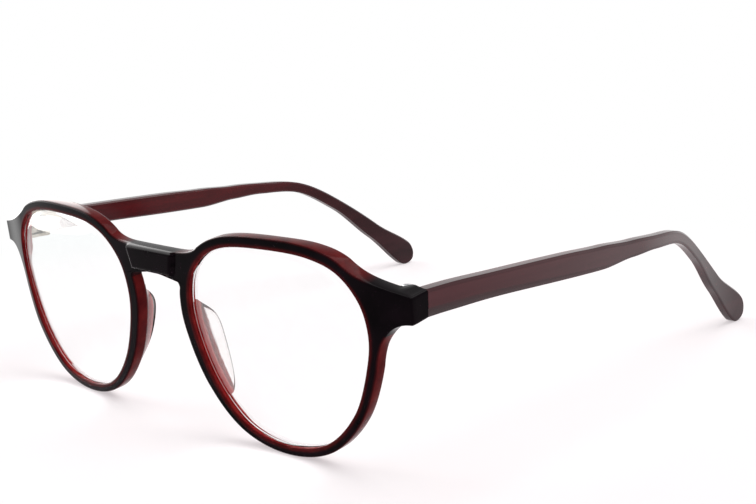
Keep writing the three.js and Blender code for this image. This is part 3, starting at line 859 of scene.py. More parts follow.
# edge=1.0 paints shade along the pad's glancing edges.
PAD_CLEAR = ClearFinish("pad_clear", linear(252, 250, 249), scratch=0.03, edge=1.0)
PAD_ROOT = AcetateFinish(
    "pad_root", deep=linear(84, 22, 26), deep_alt=linear(112, 34, 36), glow=linear(178, 76, 76),
    glow_alt=linear(200, 104, 102), specular=0.2, slant_shine=0.15,
)
PAD_ACETATE = PadFinish("pad_acetate", PAD_CLEAR, PAD_ROOT)
CLEAR_LENS = ClearFinish("clear_lens", linear(250, 252, 252))
NICKEL_SILVER = MetalFinish("nickel_silver", linear(196, 190, 178), linear(150, 140, 122))
TURNED_STEEL = MetalFinish("turned_steel", linear(190, 190, 192), linear(150, 150, 150), 0.22)
DRAWN_WIRE = MetalFinish("drawn_wire", linear(160, 160, 163), linear(120, 120, 122), 0.35)
# The second colour is the painted pink shadow colour near the object.
WHITE_PAPER = PaperFinish("white_paper", linear(250, 247, 247), linear(255, 247, 250))


@dataclass
class Workshop:
    """Makes objects of shapes and hands them to the bodies."""

    frame: RowFrame
    smooth_deg: float = 32
    edge_deg: float = 38
    merge_distance: float = 2e-6
    flaw_size: float = 1e-6

    def piece(self, name: str, shape: Shape, material: Material, side: Side = Side.RIGHT,
              smooth_deg: float | None = None) -> Object:
        """Makes one mesh object in the row frame.

        Args:
            name: The piece's name.
            shape: Its mesh, as it is on the right half.
            material: Its finish.
            side: The half that it belongs on.
            smooth_deg: Edges flatter than this are shaded smooth, if not the usual angle.

        Returns:
            The object.
        """
        mesh = bpy.data.meshes.new(name)
        placed = self.frame.place(shape.points * (side.value, 1, 1))
        mesh.from_pydata([tuple(point) for point in placed], [], shape.faces)
        for key, values in shape.tints.items():
            layer = mesh.attributes.new(key, "FLOAT", "POINT")
            layer.data.foreach_set("value", np.asarray(values, np.float32))
        work = bmesh.new()
        work.from_mesh(mesh)
        bmesh.ops.remove_doubles(work, verts=work.verts, dist=self.merge_distance)
        bmesh.ops.dissolve_degenerate(work, dist=self.flaw_size, edges=work.edges)
        bmesh.ops.recalc_face_normals(work, faces=work.faces)
        work.to_mesh(mesh)
        work.free()
        mesh.materials.append(material)
        self.smooth(mesh, smooth_deg or self.smooth_deg)
        return stand(name, mesh)

    def smooth(self, mesh: bpy.types.Mesh, degrees: float) -> None:
        """Shades a mesh smooth, but for edges sharper than an angle."""
        mesh.shade_smooth()
        mesh.set_sharp_from_angle(angle=math.radians(degrees))

    def keep_edges(self, piece: Object, width: float, segments: int = 3) -> None:
        """Breaks a piece's sharp edges by a small radius.

        Args:
            piece: The object.
            width: The radius in millimetres.
            segments: Number of faces round each edge.
        """
        bevel = piece.modifiers.new("broken_edges", "BEVEL")
        bevel.width = width * MM
        bevel.segments = segments
        bevel.limit_method = "ANGLE"
        bevel.angle_limit = math.radians(self.edge_deg)
        bevel.harden_normals = True

    def cut(self, piece: Object, shape: Shape, side: Side) -> None:
        """Cuts a shape out of a piece.

        Args:
            piece: The object that is cut.
            shape: What is cut away, on the right half.
            side: The half that the piece is on.
        """
        cutter = self.piece("cutter", shape, piece.data.materials[0], side)
        made = piece.modifiers.new("cut", "BOOLEAN")
        made.operation = "DIFFERENCE"
        made.solver = "EXACT"
        made.object = cutter
        bpy.context.view_layer.update()
        graph = bpy.context.evaluated_depsgraph_get()
        mesh = bpy.data.meshes.new_from_object(piece.evaluated_get(graph))
        old = piece.data
        piece.modifiers.remove(made)
        piece.data = mesh
        mesh.name = old.name
        bpy.data.meshes.remove(old)
        bpy.data.objects.remove(cutter)
        self.smooth(mesh, self.smooth_deg)

    def hand_over(self, piece: Object, body: Body, slot: str, *nodes: str) -> None:
        """Sets a piece on its body in place of CAD nodes.

        Args:
            piece: The object.
            body: The body that it rides on.
            slot: The record's material slot; not used.
            *nodes: The nodes that it stands for.
        """
        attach(piece, body.value)
        if nodes:
            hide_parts(*nodes)
        LOG.info("%s rides on %s", piece.name, body.value)


@dataclass
class Hinge:
    """One five-knuckle hinge: two halves and the screw."""

    side: Side
    front: FrontSizes
    temple: TempleSizes
    sizes: HingeSizes
    facets: int = 48

    @property
    def pin(self) -> tuple[float, float]:
        """The pin's place in plan."""
        return self.front.temple_inner_x - self.sizes.pin_inset, self.front.joint_y + self.sizes.pin_setback

    @property
    def centre_z(self) -> float:
        """The middle height of the barrel."""
        return self.temple.centre_z - self.sizes.drop

    @property
    def tall(self) -> float:
        """The barrel's height."""
        h = self.sizes
        return h.knuckles * h.knuckle_height + (h.knuckles - 1) * h.knuckle_gap

    @property
    def foot(self) -> float:
        """The height of the barrel's foot."""
        return self.centre_z - self.tall / 2

    def plates(self) -> list[tuple[Points, Points]]:
        """The two plates.

        Returns:
            The low and high corners of the front half's plate and of the temple half's.
        """
        h, f = self.sizes, self.front
        x, _ = self.pin
        seat = f.joint_y - h.seat_setback
        start = f.joint_y + f.joint_gap + h.recess
        inner = f.temple_inner_x
        plans = (
            ((x - h.reach_in, seat - h.plate_thickness), (x + h.reach_out, seat)),
            ((inner, start), (inner + h.plate_thickness, start + h.temple_plate)),
        )
        low_z, high_z = self.centre_z - h.plate_height / 2, self.centre_z + h.plate_height / 2
        return [(np.array([*low, low_z]), np.array([*high, high_z])) for low, high in plans]

    def recesses(self) -> list[Shape]:
        """What is milled away for the plates.

        Returns:
            The block in the endpiece and the block in the temple.
        """
        h, f = self.sizes, self.front
        (seat_low, seat_high), (leaf_low, leaf_high) = self.plates()
        seat_back = (seat_high[0] + h.recess, f.joint_y + h.overrun, seat_high[2] + h.recess)
        leaf_front = (f.temple_inner_x - h.overrun, f.joint_y - h.overrun, leaf_low[2] - h.recess)
        return [Shape.box(seat_low - h.recess, seat_back), Shape.box(leaf_front, leaf_high + h.recess)]

    def disc(self, bottom: float, top: float, radius: float, bevel: float) -> Shape:
        """A turned disc about the pin with broken edges.

        Args:
            bottom: Its foot.
            top: Its top.
            radius: Its radius.
            bevel: How much its edges are broken.

        Returns:
            The shape.
        """
        x, y = self.pin
        angles = np.arange(self.facets) / self.facets * 2 * math.pi
        inner = radius - bevel
        rows = [(inner, bottom), (radius, bottom + bevel), (radius, top - bevel), (inner, top)]
        rings = [np.column_stack([x + r * np.cos(angles), y + r * np.sin(angles), np.full(self.facets, z)])
                 for r, z in rows]
        return Shape.tube(np.stack(rings))

    def half(self, first: int, plate: tuple, web: tuple) -> Shape:
        """One half: its plate, and every second knuckle with its web.

        Args:
            first: The first knuckle's number.
            plate: Low and high corners of the plate.
            web: Low and high places of the webs in plan.

        Returns:
            The shape.
        """
        h = self.sizes
        parts = [Shape.box(*plate)]
        for level in range(first, h.knuckles, 2):
            bottom = self.foot + level * (h.knuckle_height + h.knuckle_gap)
            top = bottom + h.knuckle_height
            parts.append(self.disc(bottom, top, h.barrel_radius, h.knuckle_bevel))
            parts.append(Shape.box((*web[0], bottom + h.web_inset), (*web[1], top - h.web_inset)))
        return Shape.joined(parts)

    def build(self, shop: Workshop, metal: Material, steel: Material) -> None:
        """Builds and dresses the hinge.

        Args:
            shop: Makes the objects.
            metal: The halves' metal.
            steel: The screw's metal.
        """
        h, word = self.sizes, self.side.word
        x, y = self.pin
        seat, leaf = self.plates()
        half_plate = h.plate_thickness / 2
        webs = (
            ((x - h.web_half, seat[0][1] + half_plate), (x + h.web_half, y)),
            ((x, y - h.web_half), (leaf[0][0] + half_plate, y + h.web_half)),
        )
        owners = (("front", Body.FRONT), ("temple", Body.arm(self.side)))
        for first, ((part, body), plate, web) in enumerate(zip(owners, (seat, leaf), webs)):
            piece = shop.piece(f"{part}_leaf_{word}", self.half(first, plate, web), metal, self.side)
            shop.keep_edges(piece, h.edge_break, h.edge_faces)
            shop.hand_over(piece, body, "hinge_metal", f"{part}_hinge_{word}")
        self.screw(shop, steel)

    def screw(self, shop: Workshop, steel: Material) -> None:
        """Builds and dresses the slotted screw.

        Args:
            shop: Makes the objects.
            steel: The screw's metal.
        """
        h, word = self.sizes, self.side.word
        x, y = self.pin
        seat = self.foot + self.tall + h.knuckle_gap
        top = seat + h.head_height
        shank = self.disc(self.foot - h.tail, seat + h.head_height / 2, h.screw_radius, h.shank_bevel)
        head = self.disc(seat, top, h.head_radius, h.head_bevel)
        piece = shop.piece(f"slotted_screw_{word}", Shape.joined([shank, head]), steel, self.side)
        reach, half = h.head_radius + h.slot_overrun, h.slot_width / 2
        low, high = (x - reach, y - half, top - h.slot_depth), (x + reach, y + half, top + h.slot_overrun)
        shop.cut(piece, Shape.box(low, high), self.side)
        shop.hand_over(piece, Body.FRONT, "screw_metal", f"hinge_screw_{word}")


@dataclass(frozen=True)
class LoopSteps:
    """Numbers of steps along the stretches of the front's outline."""

    bridge: int = 22
    notch: int = 20
    brow: int = 90
    shoulder: int = 34
    corner: int = 6
    end_face: int = 10
    end_foot: int = 30
    rim: int = 220
    neck: int = 14
    keyhole: int = 18
    arch: int = 14
    cut: int = 10


@dataclass(frozen=True)
class RimGlow:
    """How much of the painted red glow, standing in for light through the acetate, shows on the front's
    faces, and how far it runs in millimetres.
    """

    lip: float = 0.2
    lip_run: float = 0.4
    wall: float = 0.33
    back: float = 0.18
    groove_front: float = 0.6
    groove_most: float = 1.25
    edge_run: float = 0.35
    end_start_share: float = 0.83
    end_run_share: float = 0.05
    end_foot_share: float = 0.7
    bridge_run: float = 4.0


@dataclass
class RimSection:
    """The front's section at each point of its outline, with the columns where its outer wall lies."""

    flat: Points
    depth: Points
    reach: Points
    wall_first: int
    wall_last: int


@dataclass
class Front:
    """The milled front: rims with lens grooves, keyhole bridge and endpieces."""

    sizes: FrontSizes
    outline: LensOutline
    steps: LoopSteps = field(default_factory=LoopSteps)
    glow: RimGlow = field(default_factory=RimGlow)
    face_rows: int = 34
    back_rows: int = 8
    round_steps: int = 4
    notch_share: float = 0.75
    shoulder_shares: tuple = ((0.2, 0.42), (0.5, 0.72))
    foot_shares: tuple = ((0.55, 0), (0.86, 0.3))
    neck_share: float = 0.55
    search_steps: int = 3200
    least_fall: float = 1e-3
    blur_reach: int = 12
    blur_width: float = 4.5
    depth_slack: float = 1e-6

    def half_loop(self) -> tuple[Points, Points]:
        """The right half's outline with the cut along the mirror plane.

        Returns:
            The points (x, v) in order and, for each, whether it lies on the mirror plane's cut.
        """
        s, lens, steps = self.sizes, self.outline, self.steps

        def rim(start: float, end: float, count: int) -> Points:
            """A stretch of the rim's outer edge."""
            lip, normal = lens.lip(np.linspace(start, end, count + 1))
            return lip + normal * s.rim_width(normal)[:, None]

        top = rim(lens.upper_nose_knot, lens.upper_temple_knot, steps.brow)
        under = rim(lens.temple_knot, lens.nose_knot - lens.count, steps.rim)
        shoulder, neck = top[-1], under[-1]
        bridge_end = np.array([s.bridge_top_half, s.bridge_top])
        notch = bridge_end + (top[0] - bridge_end) * (self.notch_share, 0)
        corner_top = np.array([s.end_half_width, s.end_top])
        corner_foot = np.array([s.end_half_width, s.end_bottom])
        inset, drop = np.array([s.end_corner, 0]), np.array([0, s.end_corner])
        end_top, end_foot = corner_top - inset, corner_foot - inset
        shoulder_pulls = [shoulder + (end_top - shoulder) * share for share in self.shoulder_shares]
        foot_pulls = [end_foot + (under[0] - end_foot) * share for share in self.foot_shares]
        keyhole = np.array([s.keyhole_half, s.keyhole_height])
        neck_pull = neck + (keyhole - neck) * (0, self.neck_share)
        arch_end, arch_pull = (s.arch_half, s.bridge_arch), (s.keyhole_half, s.bridge_arch)
        cut_foot, cut_top = s.bridge_arch + s.edge_round, s.bridge_top - s.pad_bevel
        cut = bezier([(0, cut_foot), (0, cut_top)], steps.cut + 1)[1:-1]
        parts = [
            bezier([(0, s.bridge_top), bridge_end], steps.bridge),
            bezier([bridge_end, notch, top[0]], steps.notch),
            top,
            bezier([shoulder, *shoulder_pulls, end_top], steps.shoulder),
            bezier([end_top, corner_top, corner_top - drop], steps.corner),
            bezier([corner_top - drop, corner_foot + drop], steps.end_face),
            bezier([corner_foot + drop, corner_foot, end_foot], steps.corner),
            bezier([end_foot, *foot_pulls, under[0]], steps.end_foot),
            under,
            bezier([neck, neck_pull, keyhole], steps.neck),
            bezier([keyhole, arch_pull, arch_end], steps.keyhole),
            bezier([arch_end, (0, s.bridge_arch)], steps.arch),
        ]
        points = np.vstack([part[:-1] for part in parts] + [parts[-1][-1:], cut])
        return points, np.arange(len(points)) >= len(points) - steps.cut

    def matched_knots(self, loop: Points) -> Points:
        """The lens knot that each point of the outline is joined to.

        Args:
            loop: The outline's points.

        Returns:
            Falling knots, once round.
        """
        turn, count = self.outline.count, len(loop)
        knots = np.linspace(0, turn, self.search_steps, endpoint=False)
        lip, _ = self.outline.lip(knots)
        nearest = np.array([knots[np.argmin(np.sum((lip - point) ** 2, axis=1))] for point in loop])
        nearest = np.unwrap(nearest, period=turn)
        for i in range(1, count):
            nearest[i] = min(nearest[i], nearest[i - 1] - self.least_fall)
        trend = -turn * np.arange(count) / count
        rest = nearest - trend
        kernel = np.exp(-0.5 * (np.arange(-self.blur_reach, self.blur_reach + 1) / self.blur_width) ** 2)
        wrapped = np.concatenate([rest[-self.blur_reach:], rest, rest[:self.blur_reach]])
        return np.convolve(wrapped, kernel / kernel.sum(), "valid") + trend

    def loop_normals(self, loop: Points, on_cut: Points) -> Points:
        """The outline's outward normals, upright where it meets the mirror plane.

        Args:
            loop: The outline's points.
            on_cut: Which points lie on the mirror plane's cut.

        Returns:
            One unit normal a row.
        """
        beside = []
        for shift in (-1, 1):
            line = np.roll(loop, shift, axis=0)
            at_cut = ~on_cut & np.roll(on_cut, shift)
            line[at_cut] = loop[at_cut] - (1, 0)
            beside.append(line)
        lean = beside[0] - beside[1]
        lean /= np.linalg.norm(lean, axis=1, keepdims=True)
        return np.column_stack([-lean[:, 1], lean[:, 0]])

    def section(self, loop: Points, on_cut: Points) -> RimSection:
        """The rows of points that go round the front's section.

        They start at the lens's lip and run over the front face, down the outer wall, back over the rear
        face and through the lens groove.

        Args:
            loop: The outline's points.
            on_cut: Which points lie on the mirror plane's cut.

        Returns:
            The section.
        """
        s = self.sizes
        lip, out = self.outline.lip(self.matched_knots(loop))
        edge = self.loop_normals(loop, on_cut) * np.where(on_cut, 0, s.edge_round)[:, None]
        rounds = [(1 - math.sin(angle), 1 - math.cos(angle))
                  for angle in np.linspace(0, QUARTER_TURN, self.round_steps + 1)]
        start, stop = lip + out * s.edge_round, loop - edge
        rows = [(lip + out * s.edge_round * rise, s.edge_round * fall) for fall, rise in rounds]
        rows += [(start + (stop - start) * share, 0.0) for share in np.linspace(0, 1, self.face_rows + 1)[1:]]
        wall_first = len(rows)
        rows += [(loop - edge * fall, s.edge_round * rise) for fall, rise in rounds[1:]]
        rows.append((loop, s.depth / 2))
        rows += [(loop - edge * fall, s.depth - s.edge_round * rise) for fall, rise in rounds[:0:-1]]
        wall_last = len(rows)
        rows += [(start + (stop - start) * share, s.depth) for share in np.linspace(1, 0, self.back_rows + 1)]
        rows += [(lip + out * s.edge_round * (1 - rise), s.depth - s.edge_round * fall)
                 for fall, rise in rounds[1:]]
        mouth, floor = s.groove_mouth / 2, s.groove_floor / 2
        for deep, along in ((0, mouth), (s.groove_depth, floor), (s.groove_depth, -floor), (0, -mouth)):
            rows.append((lip + out * deep, s.groove_setback + along))
        flat = np.stack([row[0] for row in rows], axis=1)
        depth = np.broadcast_to([float(row[1]) for row in rows], flat.shape[:2])
        reach = np.linalg.norm(flat - lip[:, None], axis=-1) - s.edge_round
        return RimSection(flat, depth, reach, wall_first, wall_last)

    def raised(self, x: Points, v: Points) -> Points:
        """How far the bridge's pad stands proud.

        Args:
            x: Distances across from the middle.
            v: Heights above the lens centre.

        Returns:
            One height for each place.
        """
        s = self.sizes
        foot = s.bridge_arch + s.pad_foot_inset
        slope = (s.pad_half - s.pad_foot_half) / (s.bridge_top - foot)
        end = (s.pad_foot_half + slope * (v - foot) - np.abs(x)) / math.hypot(1, slope)
        inside = np.minimum(np.minimum(end, v - foot), s.bridge_top - v)
        share = np.clip(inside / s.pad_bevel, 0, 1)
        height = s.proud - s.pad_bevel + s.pad_bevel * np.sqrt(1 - (1 - share) ** 2)
        return np.where(inside > 0, height, 0)

    def glow_shares(self, rim: RimSection) -> Points:
        """How much painted glow, standing in for light coming through the acetate, lies at each point of the
        section.

        Args:
            rim: The section.

        Returns:
            One share for each point.
        """
        s, g = self.sizes, self.glow
        column = np.arange(rim.depth.shape[1])
        face = (column >= self.round_steps) & (column < rim.wall_first)
        wall = (column >= rim.wall_first) & (column < rim.wall_last + self.back_rows)
        groove = (column < self.round_steps) | (column > rim.wall_last + self.back_rows + 1)
        through = groove * np.clip(g.groove_most - np.exp(-rim.depth / g.edge_run), 0, 1)
        through = through * np.where(rim.depth < s.groove_setback, g.groove_front, 1)
        across, up = rim.flat[..., 0], rim.flat[..., 1]
        past_lens = (across - s.end_half_width * g.end_start_share) / (s.end_half_width * g.end_run_share)
        at_end = ease(past_lens) * (up > s.end_bottom * g.end_foot_share)
        at_bridge = ease((s.bridge_top_half + g.bridge_run - across) / g.bridge_run) * (up > s.keyhole_height)
        on_wall = g.wall * np.clip(rim.depth / s.edge_round, 0, 1) * (1 - np.maximum(at_end, at_bridge))
        on_wall = np.where(column >= rim.wall_last, g.back, on_wall)
        near_lip = g.lip * np.exp(-((np.maximum(rim.reach, 0) / g.lip_run) ** 2))
        return np.where(face, near_lip, np.where(wall, on_wall, through))

    def mesh(self) -> Shape:
        """The whole front.

        Returns:
            The shape, with its painted glow.
        """
        s = self.sizes
        loop, on_cut = self.half_loop()
        rim = self.section(loop, on_cut)
        count, columns = rim.depth.shape
        across, up = rim.flat[..., 0], rim.flat[..., 1]
        on_front = (np.arange(columns) < rim.wall_first + self.round_steps) & (
            rim.depth < s.edge_round + self.depth_slack)
        points = s.place(across, up, rim.depth - self.raised(across, up) * on_front)
        points[..., 1] = np.minimum(points[..., 1], s.joint_y)
        faces = []
        for i in range(count):
            here, ahead = i * columns, (i + 1) % count * columns
            at_cut = on_cut[i] or on_cut[(i + 1) % count]
            for j in range(columns):
                after = (j + 1) % columns
                if not (at_cut and rim.wall_first - 1 <= j < rim.wall_last):
                    faces.append((here + j, here + after, ahead + after, ahead + j))
        # The glow value paints the red of light through the acetate on the lip, walls and groove.
        right = Shape(points.reshape(-1, 3), faces, {"thin": self.glow_shares(rim).reshape(-1)})
        left = Shape(right.points * (-1, 1, 1), [face[::-1] for face in faces], right.tints)
        return Shape.joined([right, left])

    def build(self, shop: Workshop, material: Material, hinges: list[Hinge]) -> None:
        """Builds and dresses the front.

        Args:
            shop: Makes the objects.
            material: The acetate.
            hinges: The hinges whose plates are let into the endpieces.
        """
        piece = shop.piece("milled_front", self.mesh(), material)
        for hinge in hinges:
            shop.cut(piece, hinge.recesses()[0], hinge.side)
        shop.hand_over(piece, Body.FRONT, "front_acetate", "front_frame")


@dataclass
class FrontPair:
    """Two mirrored pieces that the front carries."""

    sizes: FrontSizes
    outline: LensOutline
    name: str
    node: str
    slot: str
    smooth_deg: float | None = None

    def mesh(self) -> Shape:
        """The right one's shape."""
        raise NotImplementedError

    def build(self, shop: Workshop, material: Material) -> None:
        """Builds and dresses both pieces.

        Args:
            shop: Makes the objects.
            material: Their finish.
        """
        shape = self.mesh()
        for side in Side:
            piece = shop.piece(f"{self.name}_{side.word}", shape, material, side, self.smooth_deg)
            shop.hand_over(piece, Body.FRONT, self.slot, f"{self.node}_{side.word}")


@dataclass
class Lenses(FrontPair):
    """Two clear lenses with bevelled edges in the rims' grooves."""

    name: str = "clear_lens"
    node: str = "lens"
    slot: str = "clear_lens"
    thickness: float = 1.6
    dome: float = 1.9
    seat_gap: float = 0.18
    relief: float = 0.25
    bevel_flat: float = 0.3
    steps: int = 160
    rings: int = 14
    first_ring: float = 0.04

    def mesh(self) -> Shape:
        """The right lens.

        Returns:
            The shape.
        """
        s, lens = self.sizes, self.outline
        lip, normal = lens.lip(np.arange(self.steps) * lens.count / self.steps)
        half, flat, seat = self.thickness / 2, self.bevel_flat / 2, s.groove_depth - self.seat_gap
        shares = np.linspace(self.first_ring, 1, self.rings)
        rows = [(share, -self.relief * share, -half) for share in shares]
        rows += [(1, seat, -flat), (1, seat, flat)]
        rows += [(share, -self.relief * share, half) for share in shares[::-1]]
        rings = []
        for share, out, depth in rows:
            x = lens.centre_x + (lip[:, 0] - lens.centre_x) * share + normal[:, 0] * out
            v = lip[:, 1] * share + normal[:, 1] * out
            rings.append(s.place(x, v, s.groove_setback + depth - self.dome * (1 - share**2)))
        return Shape.tube(np.stack(rings))


@dataclass
class NosePads(FrontPair):
    """Two glued pads along the nose side of the rims' backs."""

    name: str = "glued_pad"
    node: str = "nose_pad"
    slot: str = "pad_acetate"
    smooth_deg: float = 60
    height: float = 4.7
    overhang: float = 0.6
    glue_gap: float = 0.15
    inset: float = 0.35
    start_knot: float = 8.9
    end_knot: float = 11.3
    section: tuple = (
        (0.0, 0.0), (0.3, 0.4), (0.62, 0.76), (0.88, 0.96),
        (1.02, 1.0), (1.14, 0.93), (1.08, 0.5), (0.95, 0.0),
    )
    steps: int = 72
    section_steps: int = 57
    foot_power: float = 0.5
    head_power: float = 0.5
    head_run: float = 0.5
    root_nose: float = 4.2
    root_lens: float = 1.0
    root_blend: float = 0.16
    lens_side: float = 0.9
    # lens_side_glow is painted glow; the next two fields shape a painted shade line along the pad's top.
    lens_side_glow: float = 0.85
    crest_fade: float = 0.035
    crest_start: float = 0.3

    def mesh(self) -> Shape:
        """The right pad.

        Returns:
            The shape, with the share of its root, its painted glow and the painted shade along its top.
        """
        s, corners = self.sizes, np.array(self.section)
        share = (1 - np.cos(math.pi * (np.arange(self.steps + 1) + 0.5) / (self.steps + 1))) / 2
        lip, normal = self.outline.lip(self.start_knot + (self.end_knot - self.start_knot) * share)
        power = self.foot_power + self.head_power * (1 - ease(share / self.head_run))
        rise = np.sin(math.pi * share) ** power
        base = s.rim_width(normal) - 2 * self.inset
        bends = catmull(corners, False, np.linspace(0, len(corners) - 1, self.section_steps))
        rows = []
        tints = {"root": [], "thin": [], "dusk": []}
        for across, up in np.clip(bends, (0, 0), (np.inf, 1)):
            on_lens_side = across > self.lens_side
            lean = 1 + (across - 1) * rise if across > 1 else across
            out = self.inset + base * (1 - lean) - self.overhang * up * rise
            depth = s.depth + self.glue_gap + self.height * rise * up
            rows.append(s.place(lip[:, 0] + normal[:, 0] * out, lip[:, 1] + normal[:, 1] * out, depth))
            top = self.root_nose + (self.root_lens - self.root_nose) * min(across, 1)
            above = self.height * rise * up - top
            glow = np.clip(1 + above / top, 0, 1) ** 2
            # Painted shade: a dark line along the pad's top on its lens side.
            painted_edge_shade = math.exp(-(((1 - up) / self.crest_fade) ** 2)) if on_lens_side else 0.0
            tints["root"].append(np.clip(0.5 - above / self.root_blend, 0, 1))
            tints["thin"].append(np.full_like(rise, self.lens_side_glow) if on_lens_side else glow)
            tints["dusk"].append(painted_edge_shade * np.clip(rise / self.crest_start, 0, 1))
        shape = Shape.tube(np.stack(rows, axis=1))
        shape.tints = {name: np.stack(values, axis=1).reshape(-1) for name, values in tints.items()}
        return shape


@dataclass
class Temple:
    """One acetate temple with its core wire."""

    hinge: Hinge
    sizes: TempleSizes
    steps: int = 150
    end_steps: int = 14
    end_lead: float = 0.4
    end_turn_share: float = 0.98
    end_power: float = 0.9
    band: float = 0.4
    band_limit: float = 0.25
    round_limit: float = 1 / 3
    chamfer_side_share: float = 0.5
    # The next four fields paint light and shade: red glow on the section's corners, and shade on some edges
    # and towards the tip.
    glow_shares: tuple = (0, 0, 0.5, 1, 1, 0.6, 0, 0, 0, 0)
    dusk_shares: tuple = (0.7, 1, 0, 0, 0.3, 0.6, 0.9, 0.8, 0, 0)
    dusk_start: float = 0.45
    dusk_end: float = 0.95
    edge_break: float = 0.16
    wire_radius: float = 0.65
    wire_clearance: float = 0.15
    wire_inset: float = 1.25
    wire_setback: float = 0.4
    wire_end: float = 0.9
    wire_facets: int = 20
    wire_steps: int = 60
    channel_end: float = 0.06
    channel_facets: int = 24
    channel_steps: int = 8
    length_steps: int = 400
    lean_step: float = 1e-4

    @property
    def front(self) -> FrontSizes:
        """The sizes of the front that it hangs on."""
        return self.hinge.front

    @property
    def control(self) -> Points:
        """The control points (y, z) of its line in side view."""
        return np.array(self.sizes.line) * (self.sizes.reach, self.sizes.centre_z)

    @property
    def length(self) -> float:
        """The centre line's length."""
        trail = catmull(self.control, False, np.linspace(0, len(self.control) - 1, self.length_steps))
        return float(np.sum(np.linalg.norm(np.diff(trail, axis=0), axis=1)))

    def outer_x(self, y: Points) -> Points:
        """The outer face's distance from the middle.

        Args:
            y: Depths behind the bridge.

        Returns:
            One distance for each depth.
        """
        t = self.sizes
        back = np.maximum(0, (y - self.front.joint_y) / t.reach)
        splay = np.sin(QUARTER_TURN * np.minimum(1, back / t.splay_end))
        tuck = ease((back - t.tuck_start) / (1 - t.tuck_start))
        return self.front.end_half_width + t.splay * splay - t.tuck * tuck

    def line(self, shares: Points) -> tuple[Points, Points]:
        """The centre line's points and directions in side view.

        Args:
            shares: Shares of the line, from the joint to the tip. It runs on straight past its ends.

        Returns:
            The points (y, z) and the unit directions, one a row each.
        """
        last = len(self.control) - 1
        held = np.clip(shares, 0, 1)
        low, high = np.clip(held - self.lean_step, 0, 1), np.clip(held + self.lean_step, 0, 1)
        lean = catmull(self.control, False, high * last) - catmull(self.control, False, low * last)
        lean /= np.linalg.norm(lean, axis=1, keepdims=True)
        here = catmull(self.control, False, held * last)
        return here + lean * (shares - held)[:, None] * self.length, lean

    def place(self, shares: Points, up: Points | float, inward: Points | float) -> Points:
        """Points of the right temple.

        Args:
            shares: Shares of the line.
            up: Distances up across the line.
            inward: Depths in from the outer face.

        Returns:
            One point a row.
        """
        here, lean = self.line(shares)
        y = self.front.joint_y + self.front.joint_gap + here[:, 0] - lean[:, 1] * up
        z = here[:, 1] + lean[:, 0] * up
        return np.column_stack([self.outer_x(y) - inward, y, z])

    def height(self, shares: Points) -> Points:
        """The height across the line.

        Args:
            shares: Shares of the line.

        Returns:
            One height for each share.
        """
        table = np.array(self.sizes.heights)
        place = shares * (len(table) - 1)
        low = np.minimum(np.floor(place).astype(int), len(table) - 2)
        return self.sizes.height * (table[low] + (table[low + 1] - table[low]) * ease(place - low))

    def section(self, shares: Points, height: Points, chamfer: Points, thickness: Points) -> Points:
        """Sections of the temple, from the outer face's top over the inner face and back.

        Args:
            shares: Shares of the line.
            height: Heights across the line.
            chamfer: Sizes of the lower outer chamfer.
            thickness: Thicknesses.

        Returns:
            A row of ten points for each share.
        """
        half = height / 2
        band = np.minimum(self.band, half * self.band_limit)
        edge = np.minimum(self.sizes.edge_round, half * self.round_limit)
        cut = np.minimum(chamfer, half)
        corners = [
            (half - edge, 0), (half, edge), (half, thickness - edge), (half - edge, thickness),
            (-half + edge, thickness), (-half, thickness - edge), (-half, cut * self.chamfer_side_share),
            (-half + cut, 0), (np.minimum(-half + cut + band, half * self.band_limit), 0),
            (half - edge - band, 0),
        ]
        return np.stack([self.place(shares, up, inward) for up, inward in corners], axis=1)

    def mesh(self) -> Shape:
        """The right temple.

        Returns:
            The shape, with its painted glow, and painted shade on its edges and towards its tip.
        """
        t = self.sizes
        shares, tip = np.linspace(0, 1, self.steps + 1), np.ones(1)
        back = np.clip((self.place(shares, 0, 0)[:, 1] - self.front.joint_y) / t.reach, 0, 1)
        thickness = t.thickness + (t.tip_thickness - t.thickness) * back
        chamfer = t.chamfer * (1 - ease(shares / t.chamfer_end)) + t.edge_round
        rings = list(self.section(shares, self.height(shares), chamfer, thickness))
        end_y = self.place(tip, 0, 0)[0, 1]
        lean = self.line(tip)[1][0]
        for i in range(1, self.end_steps + 1):
            angle = QUARTER_TURN * i / (self.end_steps + self.end_lead) * self.end_turn_share
            height = self.height(tip) * math.cos(angle) ** self.end_power
            ring = self.section(tip, height, t.edge_round * tip, t.tip_thickness * tip)[0]
            ring[:, 1:] += lean * t.end_round * math.sin(angle)
            ring[:, 0] += self.outer_x(ring[:, 1]) - self.outer_x(end_y)
            rings.append(ring)
        shape = Shape.tube(np.array(rings))
        # Painted shade: darker towards the tip, and along the edges that the shares mark.
        behind = (shape.points[:, 1] - self.front.joint_y) / t.reach
        tips = ease((behind - self.dusk_start) / (self.dusk_end - self.dusk_start))
        dusk = np.maximum(tips, np.tile(self.dusk_shares, len(rings)))
        shape.tints = {"thin": np.tile(self.glow_shares, len(rings)), "dusk": dusk}
        return shape

    def bar(self, start: float, end: float, radius: float, facets: int, steps: int) -> Shape:
        """A round bar along the temple's line.

        Args:
            start: Share of the line where it starts.
            end: Share of the line where it ends.
            radius: Its radius.
            facets: Number of faces round it.
            steps: Number of steps along it.

        Returns:
            The shape.
        """
        shares = np.linspace(start, end, steps + 1)
        angles = (np.arange(facets) + 0.5) / facets * 2 * math.pi
        sides = [self.place(shares, radius * math.cos(angle), self.wire_inset + radius * math.sin(angle))
                 for angle in angles]
        return Shape.tube(np.stack(sides, axis=1))

